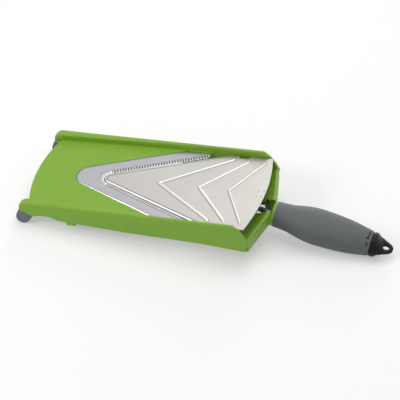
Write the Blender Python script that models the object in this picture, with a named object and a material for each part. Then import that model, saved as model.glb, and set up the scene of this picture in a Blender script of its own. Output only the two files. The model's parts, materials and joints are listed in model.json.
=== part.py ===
"""Mandoline slicer: a moulded frame with a V blade, and a ramp set by a screw in the handle.

Lengths are in millimetres and angles in degrees until a mesh is made, which is in metres.
Deck frame: +X towards the handle, +Z out of the cutting surface, which is z = 0, and x = 0
at the point of the ramp's first rib.
Handle frame: s runs along the handle's axis from the neck seam, Y is shared with the deck,
and the third axis is the handle's own up.
Row frame: +Z up, the feet and the grip resting on z = 0.
"""
import math

import bmesh
import bpy
from mathutils import Matrix, Vector

MM = 0.001
GAP = 0.3                      # clearance between neighbouring pieces
SMOOTH_ANGLE = 32.0

# Frame
HALF_WIDTH = 63.0
RAIL_TOP = 7.0
RAIL_WIDTH_FRONT = 9.0         # width of the rail's top at the exit end
RAIL_WIDTH_REAR = 3.8
RAIL_STRAIGHT_X = 27.0         # from here back the rails are parallel inside
RAIL_ROUND = 2.4
LIP_DROP = 5.2                 # height of the rolled lip on the rail's outside
LIP_START_X = -30.0
LIP_DEPTH = 1.3
SKIRT_WALL = 3.4
FLOOR_THICK = 4.0              # moulded bed under the exit surface
EXIT_EDGE_X = -139.5
EXIT_EDGE_RADIUS = 165.0
WALL_TOP_FRONT_X = EXIT_EDGE_X + 8.5
WALL_TOP_REAR_X = 101.0
NOSE_RADIUS = 9.3
SEAM_FRONT = (EXIT_EDGE_X - 0.7, -3.8)    # where the rubber foot meets the leg
SEAM_REAR = (EXIT_EDGE_X + 14.7, -11.4)
ARCH_END = (EXIT_EDGE_X + 43.1, -13.5)
ARCH_RISE = 3.4
SKIRT_MID = (-17.0, -19.3)
SKIRT_LATE = (63.0, -23.2)
SKIRT_END = (108.0, -28.0)
REAR_SLOPE = (112.9, -7.1)
REAR_TOE = (116.8, -16.3)
HOOK_X = (ARCH_END[0] + 9.4, ARCH_END[0] + 19.4)    # tab that catches a bowl's rim
HOOK_Y = (HALF_WIDTH - SKIRT_WALL, HALF_WIDTH - 0.3)
HOOK_BOTTOM = -18.2
HOOK_ROOT = -11.0
LEG_STATIONS = (-122.0, -112.0, -102.0, -92.0)
SKIRT_STATIONS = (-76.0, -50.0, LIP_START_X, SKIRT_MID[0], 5.0, RAIL_STRAIGHT_X, SKIRT_LATE[0], 84.0)
REAR_CORNER = (107.5, 1.2)
RAIL_INNER_FRONT = HALF_WIDTH - RAIL_WIDTH_FRONT
RAIL_INNER_REAR = HALF_WIDTH - RAIL_WIDTH_REAR

# V blade
BLADE_THICK = 1.2
BLADE_APEX_X = -93.6
BLADE_APEX_RADIUS = 15.2
BLADE_CORNER_X = 14.5          # where the outer edge meets the blade's straight sides
BLADE_END_X = 42.0
BLADE_SIDE_LEDGE = 2.7         # strip of bed between blade and rail
EDGE_APEX_X = -62.3
EDGE_APEX_RADIUS = 8.1
BLADE_TIP_WIDTH = 6.6          # the blade's width at its ends
BEVEL_WIDTH = 4.5
EDGE_THICK = 0.25
BLADE_OVERHANG = 6.5           # how far the cutting edge stands over the throat
STUD_RADIUS = 1.5
STUD_LENGTH = 6.2
STUD_X = (-42.0, 4.0)
STUD_INSET = 5.0               # from the blade's outer edge
NUT_RADIUS = 4.0
NUT_THICK = 1.0
BLADE_HALF_WIDTH = RAIL_INNER_REAR - BLADE_SIDE_LEDGE

# Ramp
PLATE_THICK = 1.2
THROAT_GAP = 0.6               # blade edge to ramp rim at the point of the V
RIM_WIDTH = 2.4
RIM_DROP = 3.0
SHOULDER_X = 63.2              # where the rim meets the ramp's straight sides
SIDE_PLAY = 1.4                # between the ramp's straight sides and the rails
CORNER_PLAY = 0.9
PLATE_CORNER_X = 111.3
PLATE_REAR_X = 118.7
NOTCH_X = (74.5, 85.5)
NOTCH_DEPTH = 3.6
TAB_THICK = PLATE_THICK
TAB_BOTTOM = -15.0
RIB_APEX_X = (0.0, 45.2, 78.8)
RIB_END_X = (71.6, 88.4, 106.4)
RIB_MARGIN = (6.7, 7.5, 6.9)   # from the ribs' ends to the ramp's sides
RIB_HALF = 2.1
RIB_HEIGHT = 1.3
PLATE_HALF_WIDTH = RAIL_INNER_REAR - SIDE_PLAY
NOTCH_INNER = PLATE_HALF_WIDTH - NOTCH_DEPTH

# Ramp travel: it slides back and down as it is lowered
SLICE_MAX = 5.0
SLIDE_ANGLE = 45.0
KNOB_TURN = 300.0

# Ramp guides
SLIDER_CENTRE = (80.0, -11.0)
SLIDER_WIDTH = 5.0
SLIDER_LENGTH = 8.0
SLIDER_Y = (NOTCH_INNER + GAP, RAIL_INNER_REAR + 0.2)
GUIDE_INNER = SLIDER_Y[0] + 1.5
GUIDE_X = (69.0, 95.0)
GUIDE_Z = (-22.5, -(PLATE_THICK + SLICE_MAX + 0.8))
RIVET_RADIUS = 1.2
RIVET_HEAD = 2.2
PIN_RADIUS = 2.0
PIN_CENTRE = (EDGE_APEX_X - 2.7, -10.5)
CHEEK_Y = (8.0, 11.6)
CHEEK_X = (PIN_CENTRE[0] - 21.0, PIN_CENTRE[0] + 10.5)
CHEEK_TOP = (-6.2, -6.8)       # its upper edge where it leaves the bed, and near its end
CHEEK_BOTTOM = -20.0
PIN_HALF_LENGTH = CHEEK_Y[1] + 0.8
TONGUE_HALF = 5.2
TONGUE_THICK = 1.5
TONGUE_X = (PIN_CENTRE[0] + 14.0, PIN_CENTRE[0] + 29.0)
EYE_RADIUS = 4.0

# Rear cross member and neck
BEAM_TOP = -14.0
BEAM_BOTTOM = -27.5
BEAM_GUTTER = -19.0
BEAM_RIM = 3.0
BEAM_WALL = 3.2
BEAM_SLOPE_RUN = 12.0          # from the rim down to the gutter's floor
BEAM_DEPTH = 27.0
BEAM_SIDE_X = 116.0
BEAM_SWEEP = 10.1              # how far the middle stands behind the sides
BEAM_MIDDLE = 16.0             # half width of its straight middle
NOTCH_BACK_X = 127.5

# Handle, along s
SEAM_X = 128.1
SEAM_Z = -25.6
HANDLE_DROP = 14.8
NECK_RADIUS = 13.2
NECK_SHAPE = ((-14.0, 17.5, 8.2, 5.0), (-9.2, 16.2, 9.6, 6.5), (-8.6, 15.8, 9.8, 12.4),
              (-5.0, 14.3, 11.2, 13.0), (0.0, NECK_RADIUS, NECK_RADIUS, NECK_RADIUS))
GRIP_LENGTH = 106.0
GRIP_SHAPE = ((0.0, 13.6), (0.15, 14.9), (0.225, 16.6), (0.32, 18.6), (0.415, 19.6), (0.51, 19.6),
              (0.613, 19.1), (0.717, 18.3), (0.811, 17.1), (0.905, 15.4), (0.986, 13.9), (1.0, 13.3))
GRIP_END_RADIUS = 12.4
TANG_WALL = 2.0
SHAFT_RADIUS = 3.0
SHAFT_CLEAR = SHAFT_RADIUS + 1.2
SHAFT_FRONT = -31.0
BUSH_RADIUS = SHAFT_RADIUS + 2.2
BUSH_LENGTH = 12.0
BUSH_FLANGE = BUSH_RADIUS + 1.8
BUSH_FLANGE_THICK = 1.5
TANG_RADIUS = BUSH_FLANGE + TANG_WALL
THREAD_DEPTH = 0.6
THREAD_SPAN = (SHAFT_FRONT + 0.5, -12.0)
NUT_CENTRE = -24.0
NUT_HALF = (3.5, SHAFT_RADIUS + 2.5, 5.8)
TRUNNION_RADIUS = 1.75
ARM_Y = (NUT_HALF[1] + 0.7, NUT_HALF[1] + 0.7 + PLATE_THICK)
TRUNNION_REACH = ARM_Y[1] + 0.9
NOTCH_HALF = TRUNNION_REACH + 0.7      # half width of the opening that the bracket moves in
ARM_X = (100.0, 109.8)
WEB_X = (98.0, 119.2)
CLIP_S = (-2.4, -1.6)
CLIP_RADIUS = SHAFT_RADIUS + 2.5
RING_RADIUS = 0.6
GROOVE_DEPTH = 0.6
GRIP_FACE = GRIP_LENGTH + 0.4
TANG_END = GRIP_LENGTH - 9.0
GRIP_CAVITY_END = TANG_END + BUSH_FLANGE_THICK + 0.7
RING_S = GRIP_LENGTH - 3.0

# Knob
KNOB_RADIUS = 13.2
KNOB_FRONT = GRIP_FACE + 0.5
KNOB_LENGTH = 23.6
KNOB_SOCKET = 8.1
HANG_HOLE_INSET = 8.0          # hole centre to the lug's tip
HANG_HOLE_RADIUS = 4.25
LUG_HALF_THICK = 1.9
KNOB_SHAPE = ((4.9, 13.1, 12.3), (6.1, 12.9, 10.2), (7.7, 12.6, 8.1), (9.3, 12.2, 6.1), (10.9, 11.7, 4.3),
              (12.5, 11.1, 2.9), (14.3, 10.3, 2.1), (17.1, 8.9, LUG_HALF_THICK),
              (19.5, 7.5, LUG_HALF_THICK), (21.5, 5.7, LUG_HALF_THICK), (22.9, 3.6, LUG_HALF_THICK - 0.3),
              (KNOB_LENGTH, 1.6, LUG_HALF_THICK - 0.8))
WASHER_RADIUS = SHAFT_RADIUS + 3.0
WASHER_THICK = 1.0
KNOB_PIN_RADIUS = 1.0
KNOB_PIN_SPAN = (-10.6, 2.6)
KNOB_PIN_S = KNOB_FRONT + 4.9
KNOB_TIP = KNOB_FRONT + KNOB_LENGTH
KNOB_SOCKET_END = KNOB_FRONT + KNOB_SOCKET
HANG_HOLE_S = KNOB_TIP - HANG_HOLE_INSET

# Feet: side-view points are measured from the front of the leg's cut face
FOOT_Y = (RAIL_INNER_FRONT + GAP, HALF_WIDTH - GAP)
FOOT_SHAPE = ((-3.2, -5.6), (-5.0, -10.7), (-4.4, -14.4), (-2.4, -16.8), (0.0, -18.4),
              (2.6, -18.8), (5.6, -18.2), (9.2, -15.8))
FOOT_TOE = FOOT_SHAPE[1]
FOOT_SOLE = FOOT_SHAPE[5]
FOOT_BEVEL = 1.2
FOOT_PAD_CUT = 0.35            # depth of the flat worn into the rounded sole
PLUG_RADIUS = 2.4
PLUG_LENGTH = 4.5


def tangent_angle(apex_x, radius, corner_x, corner_y):
    """Half angle of a V with a rounded point whose edge passes through a corner."""
    run = corner_x - apex_x - radius
    reach = math.hypot(run, corner_y)
    return math.degrees(math.atan2(corner_y, run) - math.asin(radius / reach))


BLADE_ANGLE = tangent_angle(BLADE_APEX_X, BLADE_APEX_RADIUS, BLADE_CORNER_X, BLADE_HALF_WIDTH)
EDGE_END_Y = BLADE_HALF_WIDTH - BLADE_TIP_WIDTH + 0.7
EDGE_ANGLE = tangent_angle(EDGE_APEX_X, EDGE_APEX_RADIUS, BLADE_END_X, EDGE_END_Y)
RIM_APEX_RADIUS = EDGE_APEX_RADIUS - THROAT_GAP
RAMP_ANGLE = tangent_angle(EDGE_APEX_X + THROAT_GAP, RIM_APEX_RADIUS, SHOULDER_X, PLATE_HALF_WIDTH)
SLIDE = Vector((math.cos(math.radians(SLIDE_ANGLE)), 0.0, -math.sin(math.radians(SLIDE_ANGLE))))
SLIDE_TRAVEL = SLICE_MAX / math.sin(math.radians(SLIDE_ANGLE))
HANDLE_AXIS = Vector((math.cos(math.radians(HANDLE_DROP)), 0.0, -math.sin(math.radians(HANDLE_DROP))))
HANDLE_UP = Vector((math.sin(math.radians(HANDLE_DROP)), 0.0, math.cos(math.radians(HANDLE_DROP))))
NUT_TRAVEL = SLIDE_TRAVEL * SLIDE.dot(HANDLE_AXIS)
ARM_SLOT = SLIDE_TRAVEL * -SLIDE.dot(HANDLE_UP)
THREAD_LEAD = NUT_TRAVEL * 360.0 / KNOB_TURN


# ---------------------------------------------------------------- outlines

def arc(centre, radius, start, end, steps):
    """Points on a circle between two angles in degrees."""
    points = []
    for i in range(steps + 1):
        angle = math.radians(start + (end - start) * i / steps)
        points.append((centre[0] + radius * math.cos(angle), centre[1] + radius * math.sin(angle)))
    return points


def bowed(start, end, rise, steps):
    """Points on the arc that joins two points and stands rise above their chord."""
    a = Vector(start)
    b = Vector(end)
    chord = (b - a).length
    radius = (chord * chord / 4.0 + rise * rise) / (2.0 * rise)
    along = (b - a).normalized()
    up = Vector((-along.y, along.x))
    centre = (a + b) / 2.0 - up * (radius - rise)
    half = math.asin(chord / 2.0 / radius)
    points = []
    for i in range(steps + 1):
        angle = -half + 2.0 * half * i / steps
        point = centre + along * (radius * math.sin(angle)) + up * (radius * math.cos(angle))
        points.append((point.x, point.y))
    return points


def vee_half(apex_x, radius, angle, end_x, steps=7):
    """The y >= 0 half of a V with a rounded point, from the point to end_x."""
    points = []
    for i in range(steps + 1):
        phi = math.radians((90.0 - angle) * i / steps)
        points.append((apex_x + radius - radius * math.cos(phi), radius * math.sin(phi)))
    x, y = points[-1]
    points.append((end_x, y + (end_x - x) * math.tan(math.radians(angle))))
    return points


def vee_y(apex_x, radius, angle, x):
    """Half width of such a V at x, past its rounded point."""
    vertex = apex_x + radius - radius / math.sin(math.radians(angle))
    return (x - vertex) * math.tan(math.radians(angle))


def mirrored(half):
    """A closed outline from its y >= 0 half, which starts on the centre line."""
    return [(x, -y) for x, y in reversed(half[1:])] + list(half)


def edge_half(offset, end_x):
    """Half of the V that stands offset inside the cutting edge; outside it where negative."""
    return vee_half(EDGE_APEX_X + offset, EDGE_APEX_RADIUS - offset, EDGE_ANGLE, end_x)


def rim_half(inset, end_x):
    """Half of the ramp's V edge, inset from its rim."""
    apex = EDGE_APEX_X + THROAT_GAP + inset
    return vee_half(apex, RIM_APEX_RADIUS - inset, RAMP_ANGLE, end_x)


def rail_inner(x):
    """Half distance between the rails at x."""
    share = (x + 126.0) / (RAIL_STRAIGHT_X + 126.0)
    share = min(1.0, max(0.0, share))
    return RAIL_INNER_FRONT + (RAIL_INNER_REAR - RAIL_INNER_FRONT) * share


def smooth_profile(points, steps):
    """A Catmull-Rom curve through (s, r) points."""
    result = []
    for i in range(len(points) - 1):
        before = Vector(points[max(0, i - 1)])
        a = Vector(points[i])
        b = Vector(points[i + 1])
        after = Vector(points[min(len(points) - 1, i + 2)])
        for k in range(steps):
            t = k / steps
            point = 0.5 * (2.0 * a + (b - before) * t + (2.0 * before - 5.0 * a + 4.0 * b - after) * t ** 2
                           + (3.0 * a - before - 3.0 * b + after) * t ** 3)
            result.append((point.x, point.y))
    result.append(tuple(points[-1]))
    return result


def grip_profile(steps):
    """The grip's outer curve as (s, r) points."""
    return smooth_profile([(max(GAP, share * GRIP_LENGTH), r) for share, r in GRIP_SHAPE], steps)


def foot_point(place):
    """A point of the foot's side view in the deck frame's x and z."""
    return SEAM_FRONT[0] + place[0], SEAM_FRONT[1] + place[1]


def sole_point():
    """Middle of the flat that the foot stands on."""
    x, z = foot_point(FOOT_SOLE)
    return x, z + FOOT_PAD_CUT


def floor_angle():
    """Tilt of the deck when the feet and the underside of the grip touch the floor."""
    x, z = sole_point()
    steepest = 0.0
    for s, r in grip_profile(4):
        point = handle_point(s, 0.0, -r)
        steepest = max(steepest, math.atan2(z - point.z, point.x - x))
    return steepest


def handle_point(s, y, up):
    """A handle-frame point in the deck frame."""
    return Vector((SEAM_X, y, SEAM_Z)) + HANDLE_AXIS * s + HANDLE_UP * up


# ---------------------------------------------------------------- meshes

def prism(outline, low, high):
    """A plan outline (x, y) extruded from z = low to z = high."""
    mesh = bmesh.new()
    face = mesh.faces.new([mesh.verts.new((x, y, low)) for x, y in outline])
    moved = bmesh.ops.extrude_face_region(mesh, geom=[face])
    top = [item for item in moved["geom"] if isinstance(item, bmesh.types.BMVert)]
    bmesh.ops.translate(mesh, verts=top, vec=(0.0, 0.0, high - low))
    return mesh


def side_prism(outline, low, high):
    """A side-view outline (x, z) extruded from y = low to y = high."""
    mesh = prism(outline, low, high)
    turn = Matrix(((1, 0, 0, 0), (0, 0, 1, 0), (0, 1, 0, 0), (0, 0, 0, 1)))
    bmesh.ops.transform(mesh, matrix=turn, verts=mesh.verts)
    return mesh


def loft(sections):
    """A closed skin over loops that have the same number of points."""
    mesh = bmesh.new()
    rings = [[mesh.verts.new(point) for point in section] for section in sections]
    count = len(rings[0])
    for near, far in zip(rings, rings[1:]):
        for i in range(count):
            j = (i + 1) % count
            mesh.faces.new((near[i], near[j], far[j], far[i]))
    mesh.faces.new(list(reversed(rings[0])))
    mesh.faces.new(rings[-1])
    return mesh


def turned(profile, segments=24):
    """A solid turned about X from (s, r) points; r = 0 at an end closes it."""
    mesh = bmesh.new()
    rings = []
    for s, r in profile:
        if r == 0.0:
            rings.append([mesh.verts.new((s, 0.0, 0.0))])
            continue
        ring = []
        for i in range(segments):
            angle = 2.0 * math.pi * i / segments
            ring.append(mesh.verts.new((s, r * math.cos(angle), r * math.sin(angle))))
        rings.append(ring)
    pairs = list(zip(rings, rings[1:]))
    if len(rings[0]) > 1:
        pairs.append((rings[-1], rings[0]))
    for near, far in pairs:
        for i in range(segments):
            j = i + 1
            corners = [near[i % len(near)], near[j % len(near)], far[j % len(far)], far[i % len(far)]]
            mesh.faces.new(list(dict.fromkeys(corners)))
    return mesh


def rod(radius, low, high, segments=20):
    """A plain cylinder along X."""
    return turned([(low, 0.0), (low, radius), (high, radius), (high, 0.0)], segments)


def ring(inner, outer, low, high, segments=24):
    """A plain tube along X."""
    return turned([(low, inner), (low, outer), (high, outer), (high, inner)], segments)


def block(low, high):
    """A box between two corners."""
    outline = [(low[0], low[1]), (high[0], low[1]), (high[0], high[1]), (low[0], high[1])]
    return prism(outline, low[2], high[2])


def block_between(xs, ys, zs):
    """A box from its spans in x, y and z."""
    return block((xs[0], ys[0], zs[0]), (xs[1], ys[1], zs[1]))


def point_along(mesh, centre, direction):
    """Turn a mesh made along X so that it lies along direction from centre."""
    turn = Vector((1.0, 0.0, 0.0)).rotation_difference(Vector(direction)).to_matrix().to_4x4()
    bmesh.ops.transform(mesh, matrix=Matrix.Translation(centre) @ turn, verts=mesh.verts)
    return mesh


def mirror_y(mesh):
    """The same mesh on the other side of the centre line."""
    bmesh.ops.transform(mesh, matrix=Matrix.Scale(-1.0, 4, (0.0, 1.0, 0.0)), verts=mesh.verts)
    return mesh


def together(meshes):
    """One mesh that holds several separate closed bodies."""
    whole = bmesh.new()
    for mesh in meshes:
        part = bpy.data.meshes.new("body")
        mesh.to_mesh(part)
        mesh.free()
        whole.from_mesh(part)
        bpy.data.meshes.remove(part)
    return whole


def slot_prism(centre, travel, half_width, end_room, low, high):
    """A round-ended cutter along the ramp's slide, extruded along y."""
    a = Vector((centre[0], centre[1]))
    along = Vector((SLIDE.x, SLIDE.z))
    across = Vector((-along.y, along.x))
    outline = []
    for end, sign in ((a + along * (travel + end_room), 1.0), (a - along * end_room, -1.0)):
        for i in range(9):
            angle = math.pi * (0.5 - i / 8.0)
            out = along * (math.cos(angle) * sign) + across * (math.sin(angle) * sign)
            outline.append(tuple(end + out * half_width))
    return side_prism(outline, low, high)


# ---------------------------------------------------------------- objects

def clear_scene():
    for item in list(bpy.data.objects):
        bpy.data.objects.remove(item, do_unlink=True)


def finish(name, colour, roughness, metallic=0.0):
    """A Principled material in the part's colour."""
    material = bpy.data.materials.new(name)
    material.use_nodes = True
    shader = material.node_tree.nodes["Principled BSDF"]
    shader.inputs["Base Color"].default_value = (*colour, 1.0)
    shader.inputs["Roughness"].default_value = roughness
    shader.inputs["Metallic"].default_value = metallic
    return material


def add_object(name, mesh, parent, material):
    """A named object in metres, with its faces pointing out."""
    bmesh.ops.scale(mesh, vec=(MM, MM, MM), verts=mesh.verts)
    bmesh.ops.recalc_face_normals(mesh, faces=mesh.faces)
    data = bpy.data.meshes.new(name)
    mesh.to_mesh(data)
    mesh.free()
    data.shade_smooth()
    data.set_sharp_from_angle(angle=math.radians(SMOOTH_ANGLE))
    data.materials.append(material)
    item = bpy.data.objects.new(name, data)
    bpy.context.scene.collection.objects.link(item)
    item.parent = parent
    return item


def helper(mesh, target):
    """A hidden shape that a Boolean on target uses."""
    item = add_object(target.name + "_helper", mesh, target.parent, target.data.materials[0])
    item.hide_render = True
    item.display_type = "WIRE"
    return item


def combine(target, mesh, operation):
    modifier = target.modifiers.new(operation.lower(), "BOOLEAN")
    modifier.operation = operation
    modifier.solver = "EXACT"
    modifier.object = helper(mesh, target)


def add_to(target, mesh):
    combine(target, mesh, "UNION")


def cut_from(target, mesh):
    combine(target, mesh, "DIFFERENCE")


def add_empty(name, parent, location=(0.0, 0.0, 0.0), pitch=0.0):
    """An empty placed in its parent's frame and pitched nose down."""
    item = bpy.data.objects.new(name, None)
    bpy.context.scene.collection.objects.link(item)
    item.parent = parent
    item.location = Vector(location) * MM
    item.rotation_euler = (0.0, pitch, 0.0)
    return item


# ---------------------------------------------------------------- frame

def wall_stations():
    """Top point, bottom point and foot flag of each section through a side wall."""
    nose = arc((WALL_TOP_FRONT_X, RAIL_TOP - NOSE_RADIUS), NOSE_RADIUS, 189.0, 90.0, 5)
    tops = nose + [(x, RAIL_TOP) for x in LEG_STATIONS]
    bottoms = bowed(SEAM_REAR, ARCH_END, ARCH_RISE, len(tops) - 1)
    stations = []
    for index, (top, bottom) in enumerate(zip(tops, bottoms)):
        stations.append((top, bottom, index < len(nose)))
    skirt = (ARCH_END, SKIRT_MID, SKIRT_LATE, SKIRT_END)
    for x in SKIRT_STATIONS:
        stations.append(((x, RAIL_TOP), (x, line_height(skirt, x)), False))
    rear_tops = ((WALL_TOP_REAR_X, RAIL_TOP), REAR_CORNER, REAR_SLOPE, REAR_TOE)
    rear_bottoms = [(x, line_height(skirt, x)) for x in (97.0, 102.0, SKIRT_END[0], SKIRT_END[0] + 4.0)]
    for top, bottom in zip(rear_tops, rear_bottoms):
        stations.append((top, bottom, False))
    return stations


def line_height(points, x):
    """Height of a polyline at x."""
    for (x0, z0), (x1, z1) in zip(points, points[1:]):
        if x <= x1:
            return z0 + (z1 - z0) * (x - x0) / (x1 - x0)
    return points[-1][1]


def wall_section(top, bottom, is_leg):
    """One section of a side wall: a rounded rail over a thinner skirt, or a full leg."""
    outer = HALF_WIDTH
    inner = rail_inner(top[0])
    top = Vector((top[0], 0.0, top[1]))
    bottom = Vector((bottom[0], 0.0, bottom[1]))
    depth = (bottom - top).length
    down = (bottom - top) / depth
    lip_share = (top.x - LIP_START_X) / (WALL_TOP_REAR_X - LIP_START_X) + 0.12
    lip = LIP_DEPTH * min(1.0, max(0.12, lip_share))
    bed = (top.z + FLOOR_THICK + GAP) / (top.z - bottom.z)
    step = depth * min(0.8, max(0.45, bed))
    low_inner = inner + GAP if is_leg else max(inner + GAP, outer - SKIRT_WALL)
    width_round = min(RAIL_ROUND, (outer - inner) * 0.45)
    corner = 0.29 * width_round
    shape = ((outer - lip, depth), (outer - lip, LIP_DROP + 1.0), (outer, LIP_DROP), (outer, width_round),
             (outer - corner, corner), (outer - width_round, 0.0), (inner + width_round, 0.0),
             (inner + corner, corner), (inner, width_round), (inner, step), (low_inner, step + 0.1),
             (low_inner, depth))
    return [top + down * h + Vector((0.0, y, 0.0)) for y, h in shape]


def wall_mesh():
    return loft([wall_section(*station) for station in wall_stations()])


def bed_mesh():
    """The exit surface, with a swallow tail that opens into the throat."""
    side = HALF_WIDTH - 2.0
    opening = edge_half(-BLADE_OVERHANG, BLADE_END_X + 8.0)
    while opening[-1][1] > side:
        x0, y0 = opening[-2]
        x1, y1 = opening[-1]
        opening[-1] = (x0 + (x1 - x0) * (side - y0) / (y1 - y0), side)
    swing = math.degrees(math.asin(side / EXIT_EDGE_RADIUS))
    centre = (EXIT_EDGE_X + EXIT_EDGE_RADIUS, 0.0)
    front = arc(centre, EXIT_EDGE_RADIUS, 180.0 + swing, 180.0 - swing, 24)
    tail = [(x, y) for x, y in reversed(opening)] + [(x, -y) for x, y in opening[1:]]
    return prism(front + tail, -FLOOR_THICK, 0.0)


def beam_mesh():
    """The rear cross member: a bowed gutter that joins the walls behind the ramp."""
    sections = []
    side = HALF_WIDTH - 2.0
    ease = side - BEAM_MIDDLE
    places = [BEAM_MIDDLE + ease * i / 4 for i in range(5)]
    for y in [-place for place in reversed(places)] + places:
        back = BEAM_SIDE_X + BEAM_SWEEP * (side - abs(y)) / ease
        front = back - BEAM_DEPTH
        shape = ((back, BEAM_TOP), (back - BEAM_RIM, BEAM_TOP + 0.4), (back - BEAM_SLOPE_RUN, BEAM_GUTTER),
                 (front, BEAM_GUTTER - 0.8), (front, BEAM_GUTTER - BEAM_WALL),
                 (back - BEAM_SLOPE_RUN, BEAM_GUTTER - BEAM_WALL - 0.8), (back - 4.0, BEAM_BOTTOM),
                 (back - 1.0, BEAM_BOTTOM))
        sections.append([Vector((x, y, z)) for x, z in shape])
    return loft(sections)


def neck_mesh():
    """The flared neck, round where it meets the grip, with a step under the cross member."""
    sections = []
    for s, half, rise, drop in NECK_SHAPE:
        loop = []
        for i in range(32):
            angle = 2.0 * math.pi * i / 32
            up = math.sin(angle) * (rise if math.sin(angle) > 0.0 else drop)
            loop.append(handle_point(s, half * math.cos(angle), up))
        sections.append(loop)
    return loft(sections)


def in_handle(mesh):
    """Move a mesh made about X onto the handle's axis, in the deck frame."""
    return point_along(mesh, (SEAM_X, 0.0, SEAM_Z), HANDLE_AXIS)


def cheek_mesh():
    """One of the two lugs under the bed that guide the ramp's front pin."""
    front, rear = CHEEK_X
    open_x = EDGE_APEX_X - BLADE_OVERHANG + 1.5
    root = -FLOOR_THICK + 0.5
    outline = [(front, root), (open_x - 2.0, root), (open_x, CHEEK_TOP[0]), (rear - 4.0, CHEEK_TOP[1]),
               (rear, CHEEK_TOP[1] - 4.2), (rear, CHEEK_BOTTOM + 3.0), (rear - 3.0, CHEEK_BOTTOM),
               (PIN_CENTRE[0] - 1.3, CHEEK_BOTTOM), (front, CHEEK_BOTTOM / 2.0 + 1.0)]
    return side_prism(outline, *CHEEK_Y)


def build_frame(deck, plastic):
    frame = add_object("frame", bed_mesh(), deck, plastic)
    for side in (False, True):
        flip = mirror_y if side else (lambda mesh: mesh)
        add_to(frame, flip(wall_mesh()))
        add_to(frame, flip(block_between(HOOK_X, HOOK_Y, (HOOK_BOTTOM, HOOK_ROOT))))
        add_to(frame, flip(block_between(GUIDE_X, (GUIDE_INNER, HALF_WIDTH - 2.0), GUIDE_Z)))
        add_to(frame, flip(cheek_mesh()))
    add_to(frame, beam_mesh())
    add_to(frame, neck_mesh())
    add_to(frame, in_handle(rod(TANG_RADIUS, -3.0, TANG_END, 28)))
    cut_from(frame, blade_pocket())
    notch_x = (BEAM_SIDE_X - BEAM_DEPTH - 10.0, NOTCH_BACK_X)
    cut_from(frame, block_between(notch_x, (-NOTCH_HALF, NOTCH_HALF), (-50.0, 0.0)))
    cut_from(frame, in_handle(shaft_bore()))
    cut_from(frame, together(guide_slots()))
    holes = [stud_rod(STUD_RADIUS + GAP, -8.0, 2.0, place) for place in stud_places()]
    for sign in (1.0, -1.0):
        holes.append(plug_mesh(sign, PLUG_RADIUS + GAP, PLUG_LENGTH + 0.6, 2.0))
    cut_from(frame, together(holes))
    return frame


def guide_slots():
    """Cutters for the sloped slots that the side guides and the front pin run in."""
    slots = []
    half = SLIDER_WIDTH / 2.0 + GAP
    room = SLIDER_LENGTH / 2.0 - half + 2.6
    for sign in (1.0, -1.0):
        low, high = sorted((sign * (GUIDE_INNER - 2.0), sign * (SLIDER_Y[1] + GAP)))
        slots.append(slot_prism(SLIDER_CENTRE, SLIDE_TRAVEL, half, room, low, high))
        low, high = sorted((sign * (CHEEK_Y[0] - 1.0), sign * (CHEEK_Y[1] + 1.0)))
        slots.append(slot_prism(PIN_CENTRE, SLIDE_TRAVEL, PIN_RADIUS + GAP, 0.2, low, high))
    return slots


def blade_pocket():
    """The recess that lets the blade lie flush with the bed."""
    room = GAP + 0.1
    half = vee_half(BLADE_APEX_X - room, BLADE_APEX_RADIUS + room, BLADE_ANGLE, 90.0)
    limit = BLADE_HALF_WIDTH + room
    x, y = half[-2]
    half[-1] = (x + (limit - y) / math.tan(math.radians(BLADE_ANGLE)), limit)
    half.append((BLADE_END_X + 20.0, limit))
    return prism(mirrored(half), -BLADE_THICK - GAP, 3.0)


def shaft_bore():
    """Stepped bore through the tang for the shaft and its two bushes."""
    seat = BUSH_RADIUS + GAP
    spot = BUSH_FLANGE + GAP
    mouth = NECK_SHAPE[1][0] + 0.2
    front = BUSH_FLANGE_THICK - 1.0 + GAP
    return turned([(mouth, 0.0), (mouth, spot), (front, spot), (front, seat), (front + BUSH_LENGTH, seat),
                   (front + BUSH_LENGTH, SHAFT_CLEAR), (TANG_END - BUSH_LENGTH, SHAFT_CLEAR),
                   (TANG_END - BUSH_LENGTH, seat), (TANG_END + 3.0, seat), (TANG_END + 3.0, 0.0)])


def stud_rod(radius, low, high, place):
    """An upright cylinder at a plan position."""
    return point_along(rod(radius, low, high, 14), (place[0], place[1], 0.0), (0.0, 0.0, 1.0))


def stud_places():
    """Plan positions of the blade's four studs."""
    inset = STUD_INSET / math.cos(math.radians(BLADE_ANGLE))
    places = []
    for x in STUD_X:
        y = vee_y(BLADE_APEX_X, BLADE_APEX_RADIUS, BLADE_ANGLE, x) - inset
        places += [(x, y), (x, -y)]
    return places


# ---------------------------------------------------------------- feet

def seam_frame():
    """Middle of the leg's cut face, and the way out of the leg."""
    front = Vector((SEAM_FRONT[0], 0.0, SEAM_FRONT[1]))
    rear = Vector((SEAM_REAR[0], 0.0, SEAM_REAR[1]))
    along = (rear - front).normalized()
    return (front + rear) / 2.0, Vector((along.z, 0.0, -along.x))


def plug_mesh(sign, radius, length, outside):
    """The foot's plug, or the hole for it, square to the leg's cut face."""
    centre, out = seam_frame()
    middle = centre + Vector((0.0, sign * (FOOT_Y[0] + FOOT_Y[1]) / 2.0, 0.0))
    return point_along(rod(radius, -outside, length, 16), middle, -out)


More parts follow.
